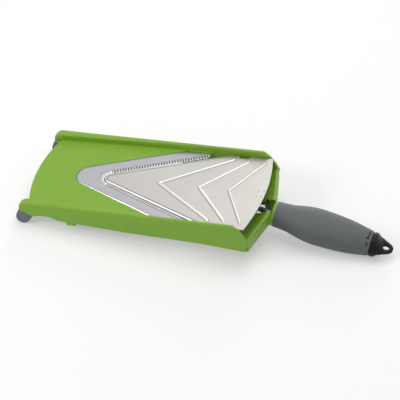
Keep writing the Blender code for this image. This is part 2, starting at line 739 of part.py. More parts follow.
def foot_mesh(tilt):
    """A rubber shoe with a rounded sole that is flat where it stands."""
    out = seam_frame()[1]
    front = Vector(SEAM_FRONT) + Vector((out.x, out.z)) * GAP
    rear = Vector(SEAM_REAR) + Vector((out.x, out.z)) * GAP
    outline = [tuple(front)] + [foot_point(place) for place in FOOT_SHAPE] + [tuple(rear)]
    mesh = side_prism(outline, *FOOT_Y)
    rims = []
    for edge in mesh.edges:
        a, b = (vert.co for vert in edge.verts)
        if abs(a.y - b.y) < 0.01 and min(a.z, b.z) < SEAM_REAR[1] - 1.0:
            rims.append(edge)
    bmesh.ops.bevel(mesh, geom=rims, offset=FOOT_BEVEL, segments=2, profile=0.5, affect="EDGES")
    down = Vector((-math.sin(tilt), 0.0, -math.cos(tilt)))
    x, z = sole_point()
    everything = list(mesh.verts) + list(mesh.edges) + list(mesh.faces)
    cut = bmesh.ops.bisect_plane(mesh, geom=everything, plane_co=Vector((x, 0.0, z)), plane_no=down,
                                 clear_outer=True)
    edges = [item for item in cut["geom_cut"] if isinstance(item, bmesh.types.BMEdge)]
    bmesh.ops.contextual_create(mesh, geom=edges)
    return mesh


def build_feet(deck, tilt, rubber):
    for name, sign in (("front_foot_left", 1.0), ("front_foot_right", -1.0)):
        mesh = foot_mesh(tilt)
        if sign < 0.0:
            mesh = mirror_y(mesh)
        foot = add_object(name, mesh, deck, rubber)
        add_to(foot, plug_mesh(sign, PLUG_RADIUS, PLUG_LENGTH, 1.5))


# ---------------------------------------------------------------- blade

def blade_mesh():
    """The V blade: flat stock with its inner side ground down to a thin edge."""
    outer = vee_half(BLADE_APEX_X, BLADE_APEX_RADIUS, BLADE_ANGLE, BLADE_CORNER_X)
    outer.append((BLADE_END_X, BLADE_HALF_WIDTH))
    inner = edge_half(0.0, BLADE_END_X - 1.5)
    middle_x = BLADE_CORNER_X + 4.0
    inner.insert(-1, (middle_x, vee_y(EDGE_APEX_X, EDGE_APEX_RADIUS, EDGE_ANGLE, middle_x)))
    sections = []
    for out_point, in_point in zip(mirrored(outer), mirrored(inner)):
        far = Vector((out_point[0], out_point[1], 0.0))
        edge = Vector((in_point[0], in_point[1], 0.0))
        grind = edge + (far - edge).normalized() * BEVEL_WIDTH
        drop = Vector((0.0, 0.0, -BLADE_THICK))
        lift = Vector((0.0, 0.0, EDGE_THICK))
        sections.append([far, far + drop, edge + drop, edge + drop + lift, grind])
    return loft(sections)


def build_blade(deck, steel):
    blade = add_object("v_blade", blade_mesh(), deck, steel)
    studs = []
    top = -FLOOR_THICK - GAP
    for index, (x, y) in enumerate(stud_places()):
        studs.append(stud_rod(STUD_RADIUS, -STUD_LENGTH, -BLADE_THICK / 2.0, (x, y)))
        washer = ring(STUD_RADIUS + GAP, NUT_RADIUS, top - NUT_THICK, top, 18)
        point_along(washer, (x, y, 0.0), (0.0, 0.0, 1.0))
        add_object(f"blade_push_nut_{index + 1}", washer, deck, steel)
    add_to(blade, together(studs))


# ---------------------------------------------------------------- ramp

def plate_outline():
    """Plan of the ramp inside its rolled rim, with a notch over each side guide."""
    inset = RIM_WIDTH * 0.5
    half = rim_half(inset, SHOULDER_X)
    shoulder = SHOULDER_X + inset / math.sin(math.radians(RAMP_ANGLE))
    half[-1] = (shoulder, PLATE_HALF_WIDTH)
    corner_y = RAIL_INNER_REAR - CORNER_PLAY
    half += [(NOTCH_X[0], PLATE_HALF_WIDTH), (NOTCH_X[0], NOTCH_INNER), (NOTCH_X[1], NOTCH_INNER),
             (NOTCH_X[1], PLATE_HALF_WIDTH), (PLATE_CORNER_X, corner_y)]
    rear = bowed((PLATE_CORNER_X, corner_y), (PLATE_CORNER_X, -corner_y), PLATE_REAR_X - PLATE_CORNER_X, 16)
    other = [(x, -y) for x, y in reversed(half[1:-1])]
    return half + rear[1:] + other


def rim_mesh():
    """The rolled-down edge along the ramp's V."""
    end = SHOULDER_X - 3.2
    rings = ((0.0, -RIM_DROP), (0.0, -1.6), (0.7, -0.45), (RIM_WIDTH * 0.8, 0.0),
             (RIM_WIDTH, -PLATE_THICK * 0.6), (PLATE_THICK, -RIM_DROP))
    loops = []
    for inset, height in rings:
        loops.append([Vector((x, y, height)) for x, y in mirrored(rim_half(inset, end))])
    return loft(list(zip(*loops)))


def rib_mesh(apex_x, end):
    """One raised V rib with an arched section and sloped ends."""
    angle = math.atan2(end[1], end[0] - apex_x)
    along = Vector((math.cos(angle), math.sin(angle), 0.0))
    across = Vector((-along.y, along.x, 0.0))
    tip = Vector((end[0], end[1], 0.0))
    arch = ((-1.0, -0.3), (-0.75, 0.55), (-0.3, 1.0), (0.3, 1.0), (0.75, 0.55), (1.0, -0.3))
    half = []
    for place, scale in ((tip, 0.35), (tip - along * RIB_HALF * 0.8, 1.0)):
        rise = RIB_HEIGHT * max(scale, 0.6)
        wide = across * (RIB_HALF * scale)
        half.append([place + wide * u + Vector((0.0, 0.0, h * rise)) for u, h in arch])
    middle = [Vector((apex_x - u * RIB_HALF / math.sin(angle), 0.0, h * RIB_HEIGHT)) for u, h in arch]
    other = [[Vector((point.x, -point.y, point.z)) for point in section] for section in reversed(half)]
    return loft(half + [middle] + other)


def build_plate(ramp, steel):
    plate = add_object("ramp_plate", prism(plate_outline(), -PLATE_THICK, 0.0), ramp, steel)
    add_to(plate, rim_mesh())
    for apex_x, end_x, margin in zip(RIB_APEX_X, RIB_END_X, RIB_MARGIN):
        add_to(plate, rib_mesh(apex_x, (end_x, PLATE_HALF_WIDTH - margin)))
    tabs = []
    front = NOTCH_X[0] + 1.0
    rear = NOTCH_X[1] - 1.0
    for sign in (1.0, -1.0):
        low, high = sorted((sign * (NOTCH_INNER - TAB_THICK), sign * (NOTCH_INNER - 0.02)))
        outline = [(front, -0.2), (rear, -0.2), (rear, TAB_BOTTOM + 2.0), (rear - 2.0, TAB_BOTTOM),
                   (front + 2.0, TAB_BOTTOM), (front, TAB_BOTTOM + 2.0)]
        tabs.append(side_prism(outline, low, high))
    add_to(plate, together(tabs))
    deep = NOTCH_INNER - TAB_THICK - 2.0
    holes = [side_rod(RIVET_RADIUS + GAP, sign * deep, sign * (NOTCH_INNER + 1.0)) for sign in (1.0, -1.0)]
    cut_from(plate, together(holes))
    return plate


def side_rod(radius, low, high, centre=SLIDER_CENTRE, segments=16):
    """A cylinder along Y through a point given in the side view."""
    low, high = sorted((low, high))
    return point_along(rod(radius, low, high, segments), (centre[0], 0.0, centre[1]), (0.0, 1.0, 0.0))


def build_sliders(ramp, acetal, steel):
    """Side guide blocks on the ramp's tabs, and the rivets that hold them."""
    for side, sign in (("left", 1.0), ("right", -1.0)):
        low, high = sorted((sign * SLIDER_Y[0], sign * SLIDER_Y[1]))
        radius = SLIDER_WIDTH / 2.0
        start = Vector(SLIDER_CENTRE) - Vector((SLIDE.x, SLIDE.z)) * (SLIDER_LENGTH / 2.0 - radius)
        mesh = slot_prism(tuple(start), SLIDER_LENGTH - 2.0 * radius, radius, 0.0, low, high)
        slider = add_object("guide_slider_" + side, mesh, ramp, acetal)
        bore_end = sign * (SLIDER_Y[1] - 1.2)
        cut_from(slider, side_rod(RIVET_RADIUS + GAP, sign * (SLIDER_Y[0] - 1.0), bore_end))
        head = NOTCH_INNER - TAB_THICK - GAP
        end = SLIDER_Y[1] - 1.6
        profile = [(head - 1.2, 0.0), (head - 1.2, RIVET_HEAD * 0.7), (head - 0.7, RIVET_HEAD),
                   (head, RIVET_HEAD), (head, RIVET_RADIUS), (end, RIVET_RADIUS), (end, 0.0)]
        place = (SLIDER_CENTRE[0], 0.0, SLIDER_CENTRE[1])
        rivet = point_along(turned(profile, 16), place, (0.0, 1.0, 0.0))
        add_object("slider_rivet_" + side, rivet if sign > 0.0 else mirror_y(rivet), ramp, steel)


def build_tongue(ramp, steel):
    """The strip welded under the ramp's point, and the pin in its rolled eye."""
    top = -PLATE_THICK - GAP
    low = top - TONGUE_THICK
    eye_x, eye_z = PIN_CENTRE
    outline = [(TONGUE_X[1], top), (TONGUE_X[0], top), (eye_x + 1.4, eye_z + EYE_RADIUS - 0.6),
               (eye_x, eye_z), (eye_x + 2.4, eye_z + 0.4), (TONGUE_X[0] + 0.6, low), (TONGUE_X[1], low)]
    tongue = add_object("front_tongue", side_prism(outline, -TONGUE_HALF, TONGUE_HALF), ramp, steel)
    add_to(tongue, side_rod(EYE_RADIUS, -TONGUE_HALF, TONGUE_HALF, PIN_CENTRE, 20))
    cut_from(tongue, side_rod(PIN_RADIUS + GAP, -TONGUE_HALF - 1.0, TONGUE_HALF + 1.0, PIN_CENTRE, 20))
    pin = side_rod(PIN_RADIUS, -PIN_HALF_LENGTH, PIN_HALF_LENGTH, PIN_CENTRE, 20)
    add_object("front_guide_pin", pin, ramp, steel)


def build_bracket(ramp, steel):
    """The fork welded under the rear of the ramp, slotted for the nut's trunnions."""
    top = -PLATE_THICK - GAP
    web = block((WEB_X[0], -ARM_Y[1], top - PLATE_THICK), (WEB_X[1], ARM_Y[1], top))
    bracket = add_object("drive_bracket", web, ramp, steel)
    pivot = handle_point(NUT_CENTRE, 0.0, 0.0)
    low = pivot - HANDLE_UP * (TRUNNION_RADIUS + GAP + 2.4)
    outline = [(ARM_X[0], top - 0.2), (ARM_X[1], top - 0.2), (low.x + 4.6, low.z + 4.0),
               (low.x + 2.5, low.z), (low.x - 2.5, low.z), (low.x - 4.6, low.z + 3.0)]
    room = TRUNNION_RADIUS + GAP
    slot = []
    for end, sign in ((pivot + HANDLE_UP * ARM_SLOT, 1.0), (pivot, -1.0)):
        for i in range(9):
            angle = math.pi * i / 8.0
            out = HANDLE_AXIS * math.cos(angle) + HANDLE_UP * math.sin(angle)
            point = end + out * (room * sign)
            slot.append((point.x, point.z))
    arms = [side_prism(outline, ARM_Y[0], ARM_Y[1]), side_prism(outline, -ARM_Y[1], -ARM_Y[0])]
    add_to(bracket, together(arms))
    cut_from(bracket, side_prism(slot, -ARM_Y[1] - 1.0, ARM_Y[1] + 1.0))


# ---------------------------------------------------------------- handle and drive

def build_grip(handle, soft):
    inner = TANG_RADIUS + GAP
    bore = SHAFT_CLEAR
    profile = grip_profile(3) + [(GRIP_FACE, GRIP_END_RADIUS), (GRIP_FACE, bore), (GRIP_CAVITY_END, bore),
                                 (GRIP_CAVITY_END, inner), (GAP, inner)]
    return add_object("grip", turned(profile, 36), handle, soft)


def bush_mesh(flange_at, direction):
    """A flanged bush whose body runs from its flange in the given direction."""
    bore = SHAFT_RADIUS + GAP
    thick = BUSH_FLANGE_THICK
    profile = [(0.0, bore), (0.0, BUSH_FLANGE), (thick, BUSH_FLANGE), (thick, BUSH_RADIUS),
               (thick + BUSH_LENGTH - 1.0, BUSH_RADIUS), (thick + BUSH_LENGTH - 1.0, bore)]
    return turned([(flange_at + direction * s, r) for s, r in profile], 24)


def thread_mesh():
    """The shaft's coarse two-start thread as one skin, its radius following the helix."""
    low, high = THREAD_SPAN
    rows = 44
    segments = 20
    sections = []
    for j in range(rows + 1):
        s = low + (high - low) * j / rows
        fade = min(1.0, (s - low) / 1.0, (high - s) / 1.0)
        loop = []
        for i in range(segments):
            angle = 2.0 * math.pi * i / segments
            phase = 2.0 * (angle - 2.0 * math.pi * s / THREAD_LEAD)
            groove = THREAD_DEPTH * fade * min(1.0, max(0.0, 0.5 + 1.1 * math.cos(phase)))
            r = SHAFT_RADIUS - groove
            loop.append(Vector((s, r * math.cos(angle), r * math.sin(angle))))
        sections.append(loop)
    return loft(sections)


def build_shaft(handle, steel):
    low, high = THREAD_SPAN
    r = SHAFT_RADIUS
    deep = r - GROOVE_DEPTH
    end = KNOB_SOCKET_END - GAP
    clip_low = CLIP_S[0] - GAP
    clip_high = CLIP_S[1] + GAP
    ring_low = RING_S - RING_RADIUS - GAP
    ring_high = RING_S + RING_RADIUS + GAP
    profile = [(high - 0.5, 0.0), (high - 0.5, r - 0.05), (clip_low, r - 0.05), (clip_low, deep),
               (clip_high, deep), (clip_high, r), (ring_low, r), (ring_low, deep), (ring_high, deep),
               (ring_high, r), (end - 0.6, r), (end, r - 0.6), (end, 0.0)]
    shaft = add_object("control_shaft", thread_mesh(), handle, steel)
    add_to(shaft, turned(profile, 20))
    nose = turned([(SHAFT_FRONT, 0.0), (SHAFT_FRONT, 2.0), (low + 0.3, 2.6), (low + 0.3, 0.0)], 20)
    add_to(shaft, nose)
    cut_from(shaft, upright_rod(KNOB_PIN_RADIUS + GAP, KNOB_PIN_S, -6.0, 6.0))


def upright_rod(radius, s, low, high, segments=14):
    """A cylinder along the handle's up axis, in the handle frame."""
    return point_along(rod(radius, low, high, segments), (s, 0.0, 0.0), (0.0, 0.0, 1.0))


def build_shaft_fittings(handle, acetal, steel, rubber):
    add_object("front_shaft_bush", bush_mesh(-1.0, 1.0), handle, acetal)
    rear_flange = TANG_END + GAP + BUSH_FLANGE_THICK
    add_object("rear_shaft_bush", bush_mesh(rear_flange, -1.0), handle, acetal)
    bore = SHAFT_RADIUS - GROOVE_DEPTH + GAP
    clip = add_object("retaining_clip", ring(bore, CLIP_RADIUS, *CLIP_S), handle, steel)
    mouth = SHAFT_RADIUS - 1.1
    cut_from(clip, block((CLIP_S[0] - 1.0, -mouth, -8.0), (CLIP_S[1] + 1.0, mouth, 0.0)))
    middle = (SHAFT_RADIUS - GROOVE_DEPTH + SHAFT_CLEAR) / 2.0
    loop = [(s, r) for s, r in arc((RING_S, middle), RING_RADIUS, 0.0, 324.0, 9)]
    add_object("shaft_o_ring", turned(loop, 20), handle, rubber)
    front = GRIP_FACE + GAP
    washer = ring(SHAFT_RADIUS + GAP, WASHER_RADIUS, front, front + WASHER_THICK)
    add_object("thrust_washer", washer, handle, acetal)


def build_nut(handle, acetal):
    """The drive nut, whose origin is its own middle on the handle's axis."""
    along, wide, tall = NUT_HALF
    origin = add_empty("nut_origin", handle, (NUT_CENTRE, 0.0, 0.0))
    outline = [(-along, -tall), (along, -tall), (along, tall), (-along, tall)]
    nut = add_object("drive_nut", side_prism(outline, -wide, wide), origin, acetal)
    add_to(nut, side_rod(TRUNNION_RADIUS, -TRUNNION_REACH, TRUNNION_REACH, (0.0, 0.0), 18))
    cut_from(nut, rod(SHAFT_RADIUS + GAP, -along - 1.0, along + 1.0, 20))


def knob_mesh():
    """The knob: a disc that falls away into a flat lug for hanging."""
    sections = []
    edge = KNOB_RADIUS - 0.8
    rims = ((0.0, edge, edge), (0.8, KNOB_RADIUS, KNOB_RADIUS), (4.1, KNOB_RADIUS, KNOB_RADIUS))
    for place, wide, tall in rims + KNOB_SHAPE:
        power = 1.0 if tall > 6.0 else 0.72
        loop = []
        for i in range(32):
            angle = 2.0 * math.pi * i / 32
            c = math.cos(angle)
            d = math.sin(angle)
            y = wide * math.copysign(abs(c) ** power, c)
            z = tall * math.copysign(abs(d) ** power, d)
            loop.append(Vector((KNOB_FRONT + place, y, z)))
        sections.append(loop)
    return loft(sections)


def build_knob(handle, black, steel):
    knob = add_object("knob", knob_mesh(), handle, black)
    recess = KNOB_FRONT - 1.0
    seat = GRIP_FACE + 2.0 * GAP + WASHER_THICK
    hole = SHAFT_RADIUS + GAP
    bore = turned([(recess, 0.0), (recess, WASHER_RADIUS + GAP), (seat, WASHER_RADIUS + GAP), (seat, hole),
                   (KNOB_SOCKET_END, hole), (KNOB_SOCKET_END, 0.0)])
    cut_from(knob, bore)
    cut_from(knob, upright_rod(HANG_HOLE_RADIUS, HANG_HOLE_S, -12.0, 12.0, 28))
    low, high = KNOB_PIN_SPAN
    cut_from(knob, upright_rod(KNOB_PIN_RADIUS + GAP, KNOB_PIN_S, -16.0, high + 1.0))
    add_object("knob_pin", upright_rod(KNOB_PIN_RADIUS, KNOB_PIN_S, low, high), handle, steel)


# ---------------------------------------------------------------- assembly

def placement(tilt):
    """Where the deck origin goes so that the part is centred and stands on z = 0."""
    sole_x, sole_z = sole_point()
    lift = -(sole_x * math.sin(tilt) + sole_z * math.cos(tilt))
    tip = handle_point(KNOB_TIP, 0.0, 0.0)
    toe_x, toe_z = foot_point(FOOT_TOE)
    front = toe_x * math.cos(tilt) - toe_z * math.sin(tilt)
    rear = tip.x * math.cos(tilt) - tip.z * math.sin(tilt)
    return -(front + rear) / 2.0, 0.0, lift


def main():
    clear_scene()
    green = finish("green_plastic", (0.227, 0.426, 0.055), 0.42)
    steel = finish("stainless_steel", (0.62, 0.61, 0.60), 0.32, 1.0)
    grey = finish("grey_soft_grip", (0.098, 0.109, 0.113), 0.62)
    black = finish("black_plastic", (0.012, 0.013, 0.012), 0.38)
    rubber = finish("grey_rubber", (0.19, 0.205, 0.235), 0.7)
    acetal = finish("grey_acetal", (0.16, 0.16, 0.17), 0.45)
    dark_acetal = finish("black_acetal", (0.014, 0.014, 0.015), 0.42)
    tilt = floor_angle()
    deck = add_empty("deck_frame", None, placement(tilt), -tilt)
    handle = add_empty("handle_frame", deck, (SEAM_X, 0.0, SEAM_Z), math.radians(HANDLE_DROP))
    ramp = add_empty("ramp_frame", deck)
    build_frame(deck, green)
    build_feet(deck, tilt, rubber)
    build_blade(deck, steel)
    build_plate(ramp, steel)
    build_sliders(ramp, acetal, steel)
    build_tongue(ramp, steel)
    build_bracket(ramp, steel)
    build_grip(handle, grey)
    build_shaft(handle, steel)
    build_shaft_fittings(handle, dark_acetal, steel, rubber)
    build_nut(handle, dark_acetal)
    build_knob(handle, black, steel)


if __name__ == "__main__":
    main()
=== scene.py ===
"""A mandoline slicer with a V blade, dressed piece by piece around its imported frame."""

import json
import math

import bmesh
import bpy
from bpy.props import FloatProperty, FloatVectorProperty, PointerProperty
from mathutils import Matrix, Vector


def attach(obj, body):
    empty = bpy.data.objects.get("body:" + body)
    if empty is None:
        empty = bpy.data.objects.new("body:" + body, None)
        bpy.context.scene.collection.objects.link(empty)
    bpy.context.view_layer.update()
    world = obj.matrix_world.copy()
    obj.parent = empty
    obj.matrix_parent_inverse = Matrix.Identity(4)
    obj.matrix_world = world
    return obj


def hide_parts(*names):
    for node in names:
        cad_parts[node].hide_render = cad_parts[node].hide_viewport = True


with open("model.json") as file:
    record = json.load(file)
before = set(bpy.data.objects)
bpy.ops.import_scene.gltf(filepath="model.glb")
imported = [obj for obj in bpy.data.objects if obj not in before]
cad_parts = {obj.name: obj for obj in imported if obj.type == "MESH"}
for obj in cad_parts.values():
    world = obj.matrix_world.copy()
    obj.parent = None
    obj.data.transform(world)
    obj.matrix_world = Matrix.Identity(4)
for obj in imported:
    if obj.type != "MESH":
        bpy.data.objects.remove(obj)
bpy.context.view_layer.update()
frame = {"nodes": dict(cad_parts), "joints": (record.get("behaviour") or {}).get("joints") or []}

bl_info = {
    "name": "Mandoline Slicer",
    "version": (1, 0, 0),
    "blender": (4, 5, 0),
    "location": "3D View > Sidebar > Slicer",
    "description": "Builds the visible pieces, finishes and studio of a V-blade mandoline slicer",
    "category": "Add Mesh",
}

MM = 0.001
ACROSS = Vector((0.0, 1.0, 0.0))
WHITE = (1.0, 1.0, 1.0, 1.0)


# ---------------- the slicer's own axes

def joint_named(name):
    """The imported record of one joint."""
    return next(joint for joint in frame["joints"] if joint["name"] == name)


HANDLE_DROP = math.radians(14.8)
SEAM_X = 128.1
SEAM_Z = -25.6
KNOB_JOINT = joint_named("knob_turn")
SEAM = Vector(KNOB_JOINT["pos_m"])
HANDLE_AXIS = -Vector(KNOB_JOINT["axis"]).normalized()
HANDLE_UP = Vector((-HANDLE_AXIS.z, 0.0, HANDLE_AXIS.x))
DECK_TILT = HANDLE_DROP - math.atan2(-HANDLE_AXIS.z, HANDLE_AXIS.x)
DECK_AXIS = Vector((math.cos(DECK_TILT), 0.0, math.sin(DECK_TILT)))
DECK_UP = Vector((-math.sin(DECK_TILT), 0.0, math.cos(DECK_TILT)))
DECK_ORIGIN = SEAM - (DECK_AXIS * SEAM_X + DECK_UP * SEAM_Z) * MM


def axes_matrix(origin, along, up):
    """Millimetres along, across and up from an origin, to metres in the row frame."""
    columns = Matrix((along * MM, ACROSS * MM, up * MM)).transposed().to_4x4()
    return Matrix.Translation(origin) @ columns


DECK = axes_matrix(DECK_ORIGIN, DECK_AXIS, DECK_UP)
HANDLE = axes_matrix(SEAM, HANDLE_AXIS, HANDLE_UP)


# ---------------- sizes and colours

COLOUR = {"subtype": "COLOR", "size": 3, "min": 0.0, "max": 1.0}


class SlicerSizes(bpy.types.PropertyGroup):
    """Sizes of the details that the frame leaves to the visible pieces."""

    tooth_pitch: FloatProperty(
        name="Tooth pitch", description="Distance between two teeth of the blade",
        default=0.003, min=0.001, max=0.01, unit="LENGTH")
    tooth_depth: FloatProperty(
        name="Tooth depth", description="How far the edge is scalloped between two teeth",
        default=0.00055, min=0.0, max=0.0015, unit="LENGTH")
    bevel_width: FloatProperty(
        name="Ground band", description="Width of the fluted band along the cutting edge",
        default=0.0045, min=0.001, max=0.008, unit="LENGTH")
    edge_round: FloatProperty(
        name="Moulded edge", description="Radius of the soft edges on moulded plastic",
        default=0.0005, min=0.0001, max=0.002, unit="LENGTH")
    metal_edge: FloatProperty(
        name="Metal edge", description="Radius of the tumbled edges on pressed steel",
        default=0.00018, min=0.00005, max=0.001, unit="LENGTH")
    rib_height: FloatProperty(
        name="Rib height", description="Height of the pressed ribs on the ramp",
        default=0.0013, min=0.0002, max=0.003, unit="LENGTH")
    weld_radius: FloatProperty(
        name="Weld mark", description="Radius of the spot-weld marks on the ramp",
        default=0.0015, min=0.0005, max=0.004, unit="LENGTH")


class SlicerColours(bpy.types.PropertyGroup):
    """Colours of the plastics, rubbers and steels."""

    green: FloatVectorProperty(
        name="Moulding", description="Colour of the tray and rails",
        default=(0.196, 0.378, 0.030), **COLOUR)
    grip: FloatVectorProperty(
        name="Grip", description="Colour of the soft grip",
        default=(0.104, 0.114, 0.116), **COLOUR)
    knob: FloatVectorProperty(
        name="Knob", description="Colour of the end knob",
        default=(0.0040, 0.0045, 0.0044), **COLOUR)
    foot: FloatVectorProperty(
        name="Feet", description="Colour of the rubber feet",
        default=(0.150, 0.163, 0.180), **COLOUR)
    guide: FloatVectorProperty(
        name="Guides", description="Colour of the side guides",
        default=(0.150, 0.150, 0.165), **COLOUR)
    ramp: FloatVectorProperty(
        name="Ramp steel", description="Tint of the ramp's satin steel",
        default=(0.510, 0.495, 0.468), **COLOUR)
    blade: FloatVectorProperty(
        name="Blade steel", description="Tint of the blade's steel",
        default=(0.465, 0.458, 0.480), **COLOUR)
    fitting: FloatVectorProperty(
        name="Fittings", description="Tint of rivets, pins and clips",
        default=(0.520, 0.510, 0.490), **COLOUR)
    print_black: FloatVectorProperty(
        name="Index print", description="Colour of the printed index bars",
        default=(0.010, 0.010, 0.010), **COLOUR)


class SlicerStudio(bpy.types.PropertyGroup):
    """Light levels, floor and lens."""

    key_power: FloatProperty(
        name="Key light", description="Power of the side light that draws the bright edges",
        default=15.0, min=0.0, max=100.0, unit="POWER")
    top_power: FloatProperty(
        name="Top light", description="Power of the overhead light",
        default=14.0, min=0.0, max=100.0, unit="POWER")
    rear_power: FloatProperty(
        name="Rear light", description="Power of the low light behind the slicer",
        default=9.0, min=0.0, max=100.0, unit="POWER")
    fill_level: FloatProperty(
        name="Fill", description="Level of the even light from all round",
        default=0.40, min=0.0, max=2.0, subtype="FACTOR")
    floor_colour: FloatVectorProperty(
        name="Floor", description="Colour of the pale floor", default=(0.96, 0.96, 0.96), **COLOUR)
    floor_glow: FloatProperty(
        name="Floor white", description="Share of plain white seen in the floor",
        default=0.35, min=0.0, max=1.0, subtype="FACTOR")
    lens: FloatProperty(
        name="Lens", description="Focal length in millimetres",
        default=225.0, min=20.0, max=600.0)


# ---------------- shader sums

class Wire:
    """One output of a node that takes part in Python expressions."""

    def __init__(self, nodes, socket):
        self.nodes = nodes
        self.socket = socket

    def _maths(self, operation, *terms):
        return self.nodes.node("ShaderNodeMath", {"operation": operation}, dict(enumerate(terms)))

    def __add__(self, other):
        return self._maths("ADD", self, other)

    def __radd__(self, other):
        return self._maths("ADD", other, self)

    def __sub__(self, other):
        return self._maths("SUBTRACT", self, other)

    def __rsub__(self, other):
        return self._maths("SUBTRACT", other, self)

    def __mul__(self, other):
        return self._maths("MULTIPLY", self, other)

    def __rmul__(self, other):
        return self._maths("MULTIPLY", other, self)

    def __abs__(self):
        return self._maths("ABSOLUTE", self)

    def least(self, other):
        """The lower of two values."""
        return self._maths("MINIMUM", self, other)

    def most(self, other):
        """The higher of two values."""
        return self._maths("MAXIMUM", self, other)

    def root(self):
        """The square root."""
        return self._maths("SQRT", self)

    def cosine(self):
        """The cosine of an angle in radians."""
        return self._maths("COSINE", self)

    def step(self, start, end):
        """0 before start and 1 past end, with a soft slope between; end may be the lower."""
        return self.nodes.node(
            "ShaderNodeMapRange", {"interpolation_type": "SMOOTHSTEP"},
            {"Value": self, "From Min": start, "From Max": end})

    def between(self, low, high, soft):
        """1 from low to high, fading to 0 within a soft width inside both."""
        return self.step(low, low + soft) * self.step(high, high - soft)


class NodeTree:
    """A node tree whose nodes all come from one method."""

    def __init__(self, tree):
        self.tree = tree

    def node(self, kind, settings=None, values=None, out=0):
        """Adds a node, its settings first and then its sockets, and returns one output."""
        made = self.tree.nodes.new(kind)
        for key, value in (settings or {}).items():
            setattr(made, key, value)
        for key, value in (values or {}).items():
            self.feed(made.inputs[key], value)
        return Wire(self, made.outputs[out])

    def feed(self, socket, value):
        """Links a wire to a socket, or writes a plain value on it."""
        if isinstance(value, Wire):
            self.tree.links.new(value.socket, socket)
        else:
            socket.default_value = value

    def show_white(self, surface, kind, share, output):
        """Lets the camera, gloss and glass see a share of plain white in a surface."""
        seen = None
        for ray in ("Is Camera Ray", "Is Glossy Ray", "Is Transmission Ray"):
            hit = self.node("ShaderNodeLightPath", out=ray)
            seen = hit if seen is None else seen.most(hit)
        white = self.node(kind, values={"Color": WHITE, "Strength": 1.0})
        mixed = self.node("ShaderNodeMixShader", values={0: seen * share, 1: surface, 2: white})
        self.feed(self.tree.nodes[output].inputs["Surface"], mixed)


class Finish(NodeTree):
    """A procedural material in the piece's own coordinates, in millimetres."""

    def __init__(self, name, colour, roughness, metallic=0.0, specular=0.5):
        self.material = bpy.data.materials.new(name)
        self.material.use_nodes = True
        super().__init__(self.material.node_tree)
        self.shader = self.tree.nodes["Principled BSDF"]
        self.place = self.node("ShaderNodeTexCoord", out="Object")
        self.colour = (*colour, 1.0)
        self.material.diffuse_color = self.colour
        self.set("Base Color", self.colour)
        self.set("Roughness", roughness)
        self.set("Metallic", metallic)
        self.set("Specular IOR Level", specular)

    def set(self, socket, value):
        """Sets or links a socket of the main shader."""
        self.feed(self.shader.inputs[socket], value)

    def reach(self, origin, direction):
        """Distance in millimetres from a point along a direction, over the surface."""
        length = self.node(
            "ShaderNodeVectorMath", {"operation": "DOT_PRODUCT"},
            {0: self.place, 1: tuple(direction / MM)}, out="Value")
        return length - origin.dot(direction) / MM

    def deck_place(self):
        """Distances along, across and up from the deck's origin."""
        return [self.reach(DECK_ORIGIN, way) for way in (DECK_AXIS, ACROSS, DECK_UP)]

    def handle_place(self):
        """Distances along, across and up from the handle's seam."""
        return [self.reach(SEAM, way) for way in (HANDLE_AXIS, ACROSS, HANDLE_UP)]

    def vector(self, x, y, z):
        """Three values as one place."""
        return self.node("ShaderNodeCombineXYZ", values={0: x, 1: y, 2: z})

    def noise(self, place, scale=1.0, detail=3.0, roughness=0.55):
        """Soft random values around a half."""
        return self.node(
            "ShaderNodeTexNoise",
            values={"Vector": place, "Scale": scale, "Detail": detail, "Roughness": roughness})

    def cells(self, place, scale):
        """Distance from the nearest of a scatter of points."""
        return self.node(
            "ShaderNodeTexVoronoi", values={"Vector": place, "Scale": scale}, out="Distance")

    def blend(self, factor, first, second):
        """Mixes two colours."""
        return self.node(
            "ShaderNodeMix", {"data_type": "RGBA"}, {0: factor, 6: first, 7: second}, out=2)

    def vee(self, x, y, outline):
        """Distance along an arm of a rounded V, and distance out from the V's line."""
        apex_x, radius, angle = outline
        run = x - (apex_x + radius)
        along = run * math.cos(angle) + abs(y) * math.sin(angle)
        across = (abs(y) * math.cos(angle) - run * math.sin(angle)).most(0.0)
        bend = along.least(0.0)
        return along, (bend * bend + across * across).root() - radius

    def shade(self, colour, factor):
        """A plain colour made lighter or darker by a factor around 1."""
        return self.node(
            "ShaderNodeVectorMath", {"operation": "SCALE"}, {0: colour[:3], "Scale": factor})

    def relief(self, height, depth, radius=None):
        """Sets the normal from a height between 0 and 1 and its depth in millimetres."""
        values = {"Height": height, "Strength": 1.0, "Distance": depth * MM}
        if radius:
            values["Normal"] = self.node("ShaderNodeBevel", {"samples": 4}, {"Radius": radius})
        self.set("Normal", self.node("ShaderNodeBump", values=values))


def tint(colour, factor):
    """A colour as four numbers, made lighter or darker."""
    return tuple(min(1.0, c * factor) for c in colour) + (1.0,)


# ---------------- outlines, in millimetres

def smooth_curve(points, steps):
    """A smooth curve through points of any number of values."""
    places = [Vector(point) for point in points]
    result = []
    for i, (a, b) in enumerate(zip(places, places[1:])):
        before = places[max(0, i - 1)]
        after = places[min(len(places) - 1, i + 2)]
        for k in range(steps):
            t = k / steps
            result.append(0.5 * (2.0 * a + (b - before) * t
                                 + (2.0 * before - 5.0 * a + 4.0 * b - after) * t ** 2
                                 + (3.0 * a - before - 3.0 * b + after) * t ** 3))
    result.append(places[-1])
    return result


def vee_half(apex_x, radius, angle, end_x, steps):
    """Half of a V with a rounded point, from the point to end_x."""
    points = []
    for i in range(steps + 1):
        phi = (math.pi / 2.0 - angle) * i / steps
        points.append(Vector((apex_x + radius - radius * math.cos(phi), radius * math.sin(phi))))
    last = points[-1]
    points.append(Vector((end_x, last.y + (end_x - last.x) * math.tan(angle))))
    return points


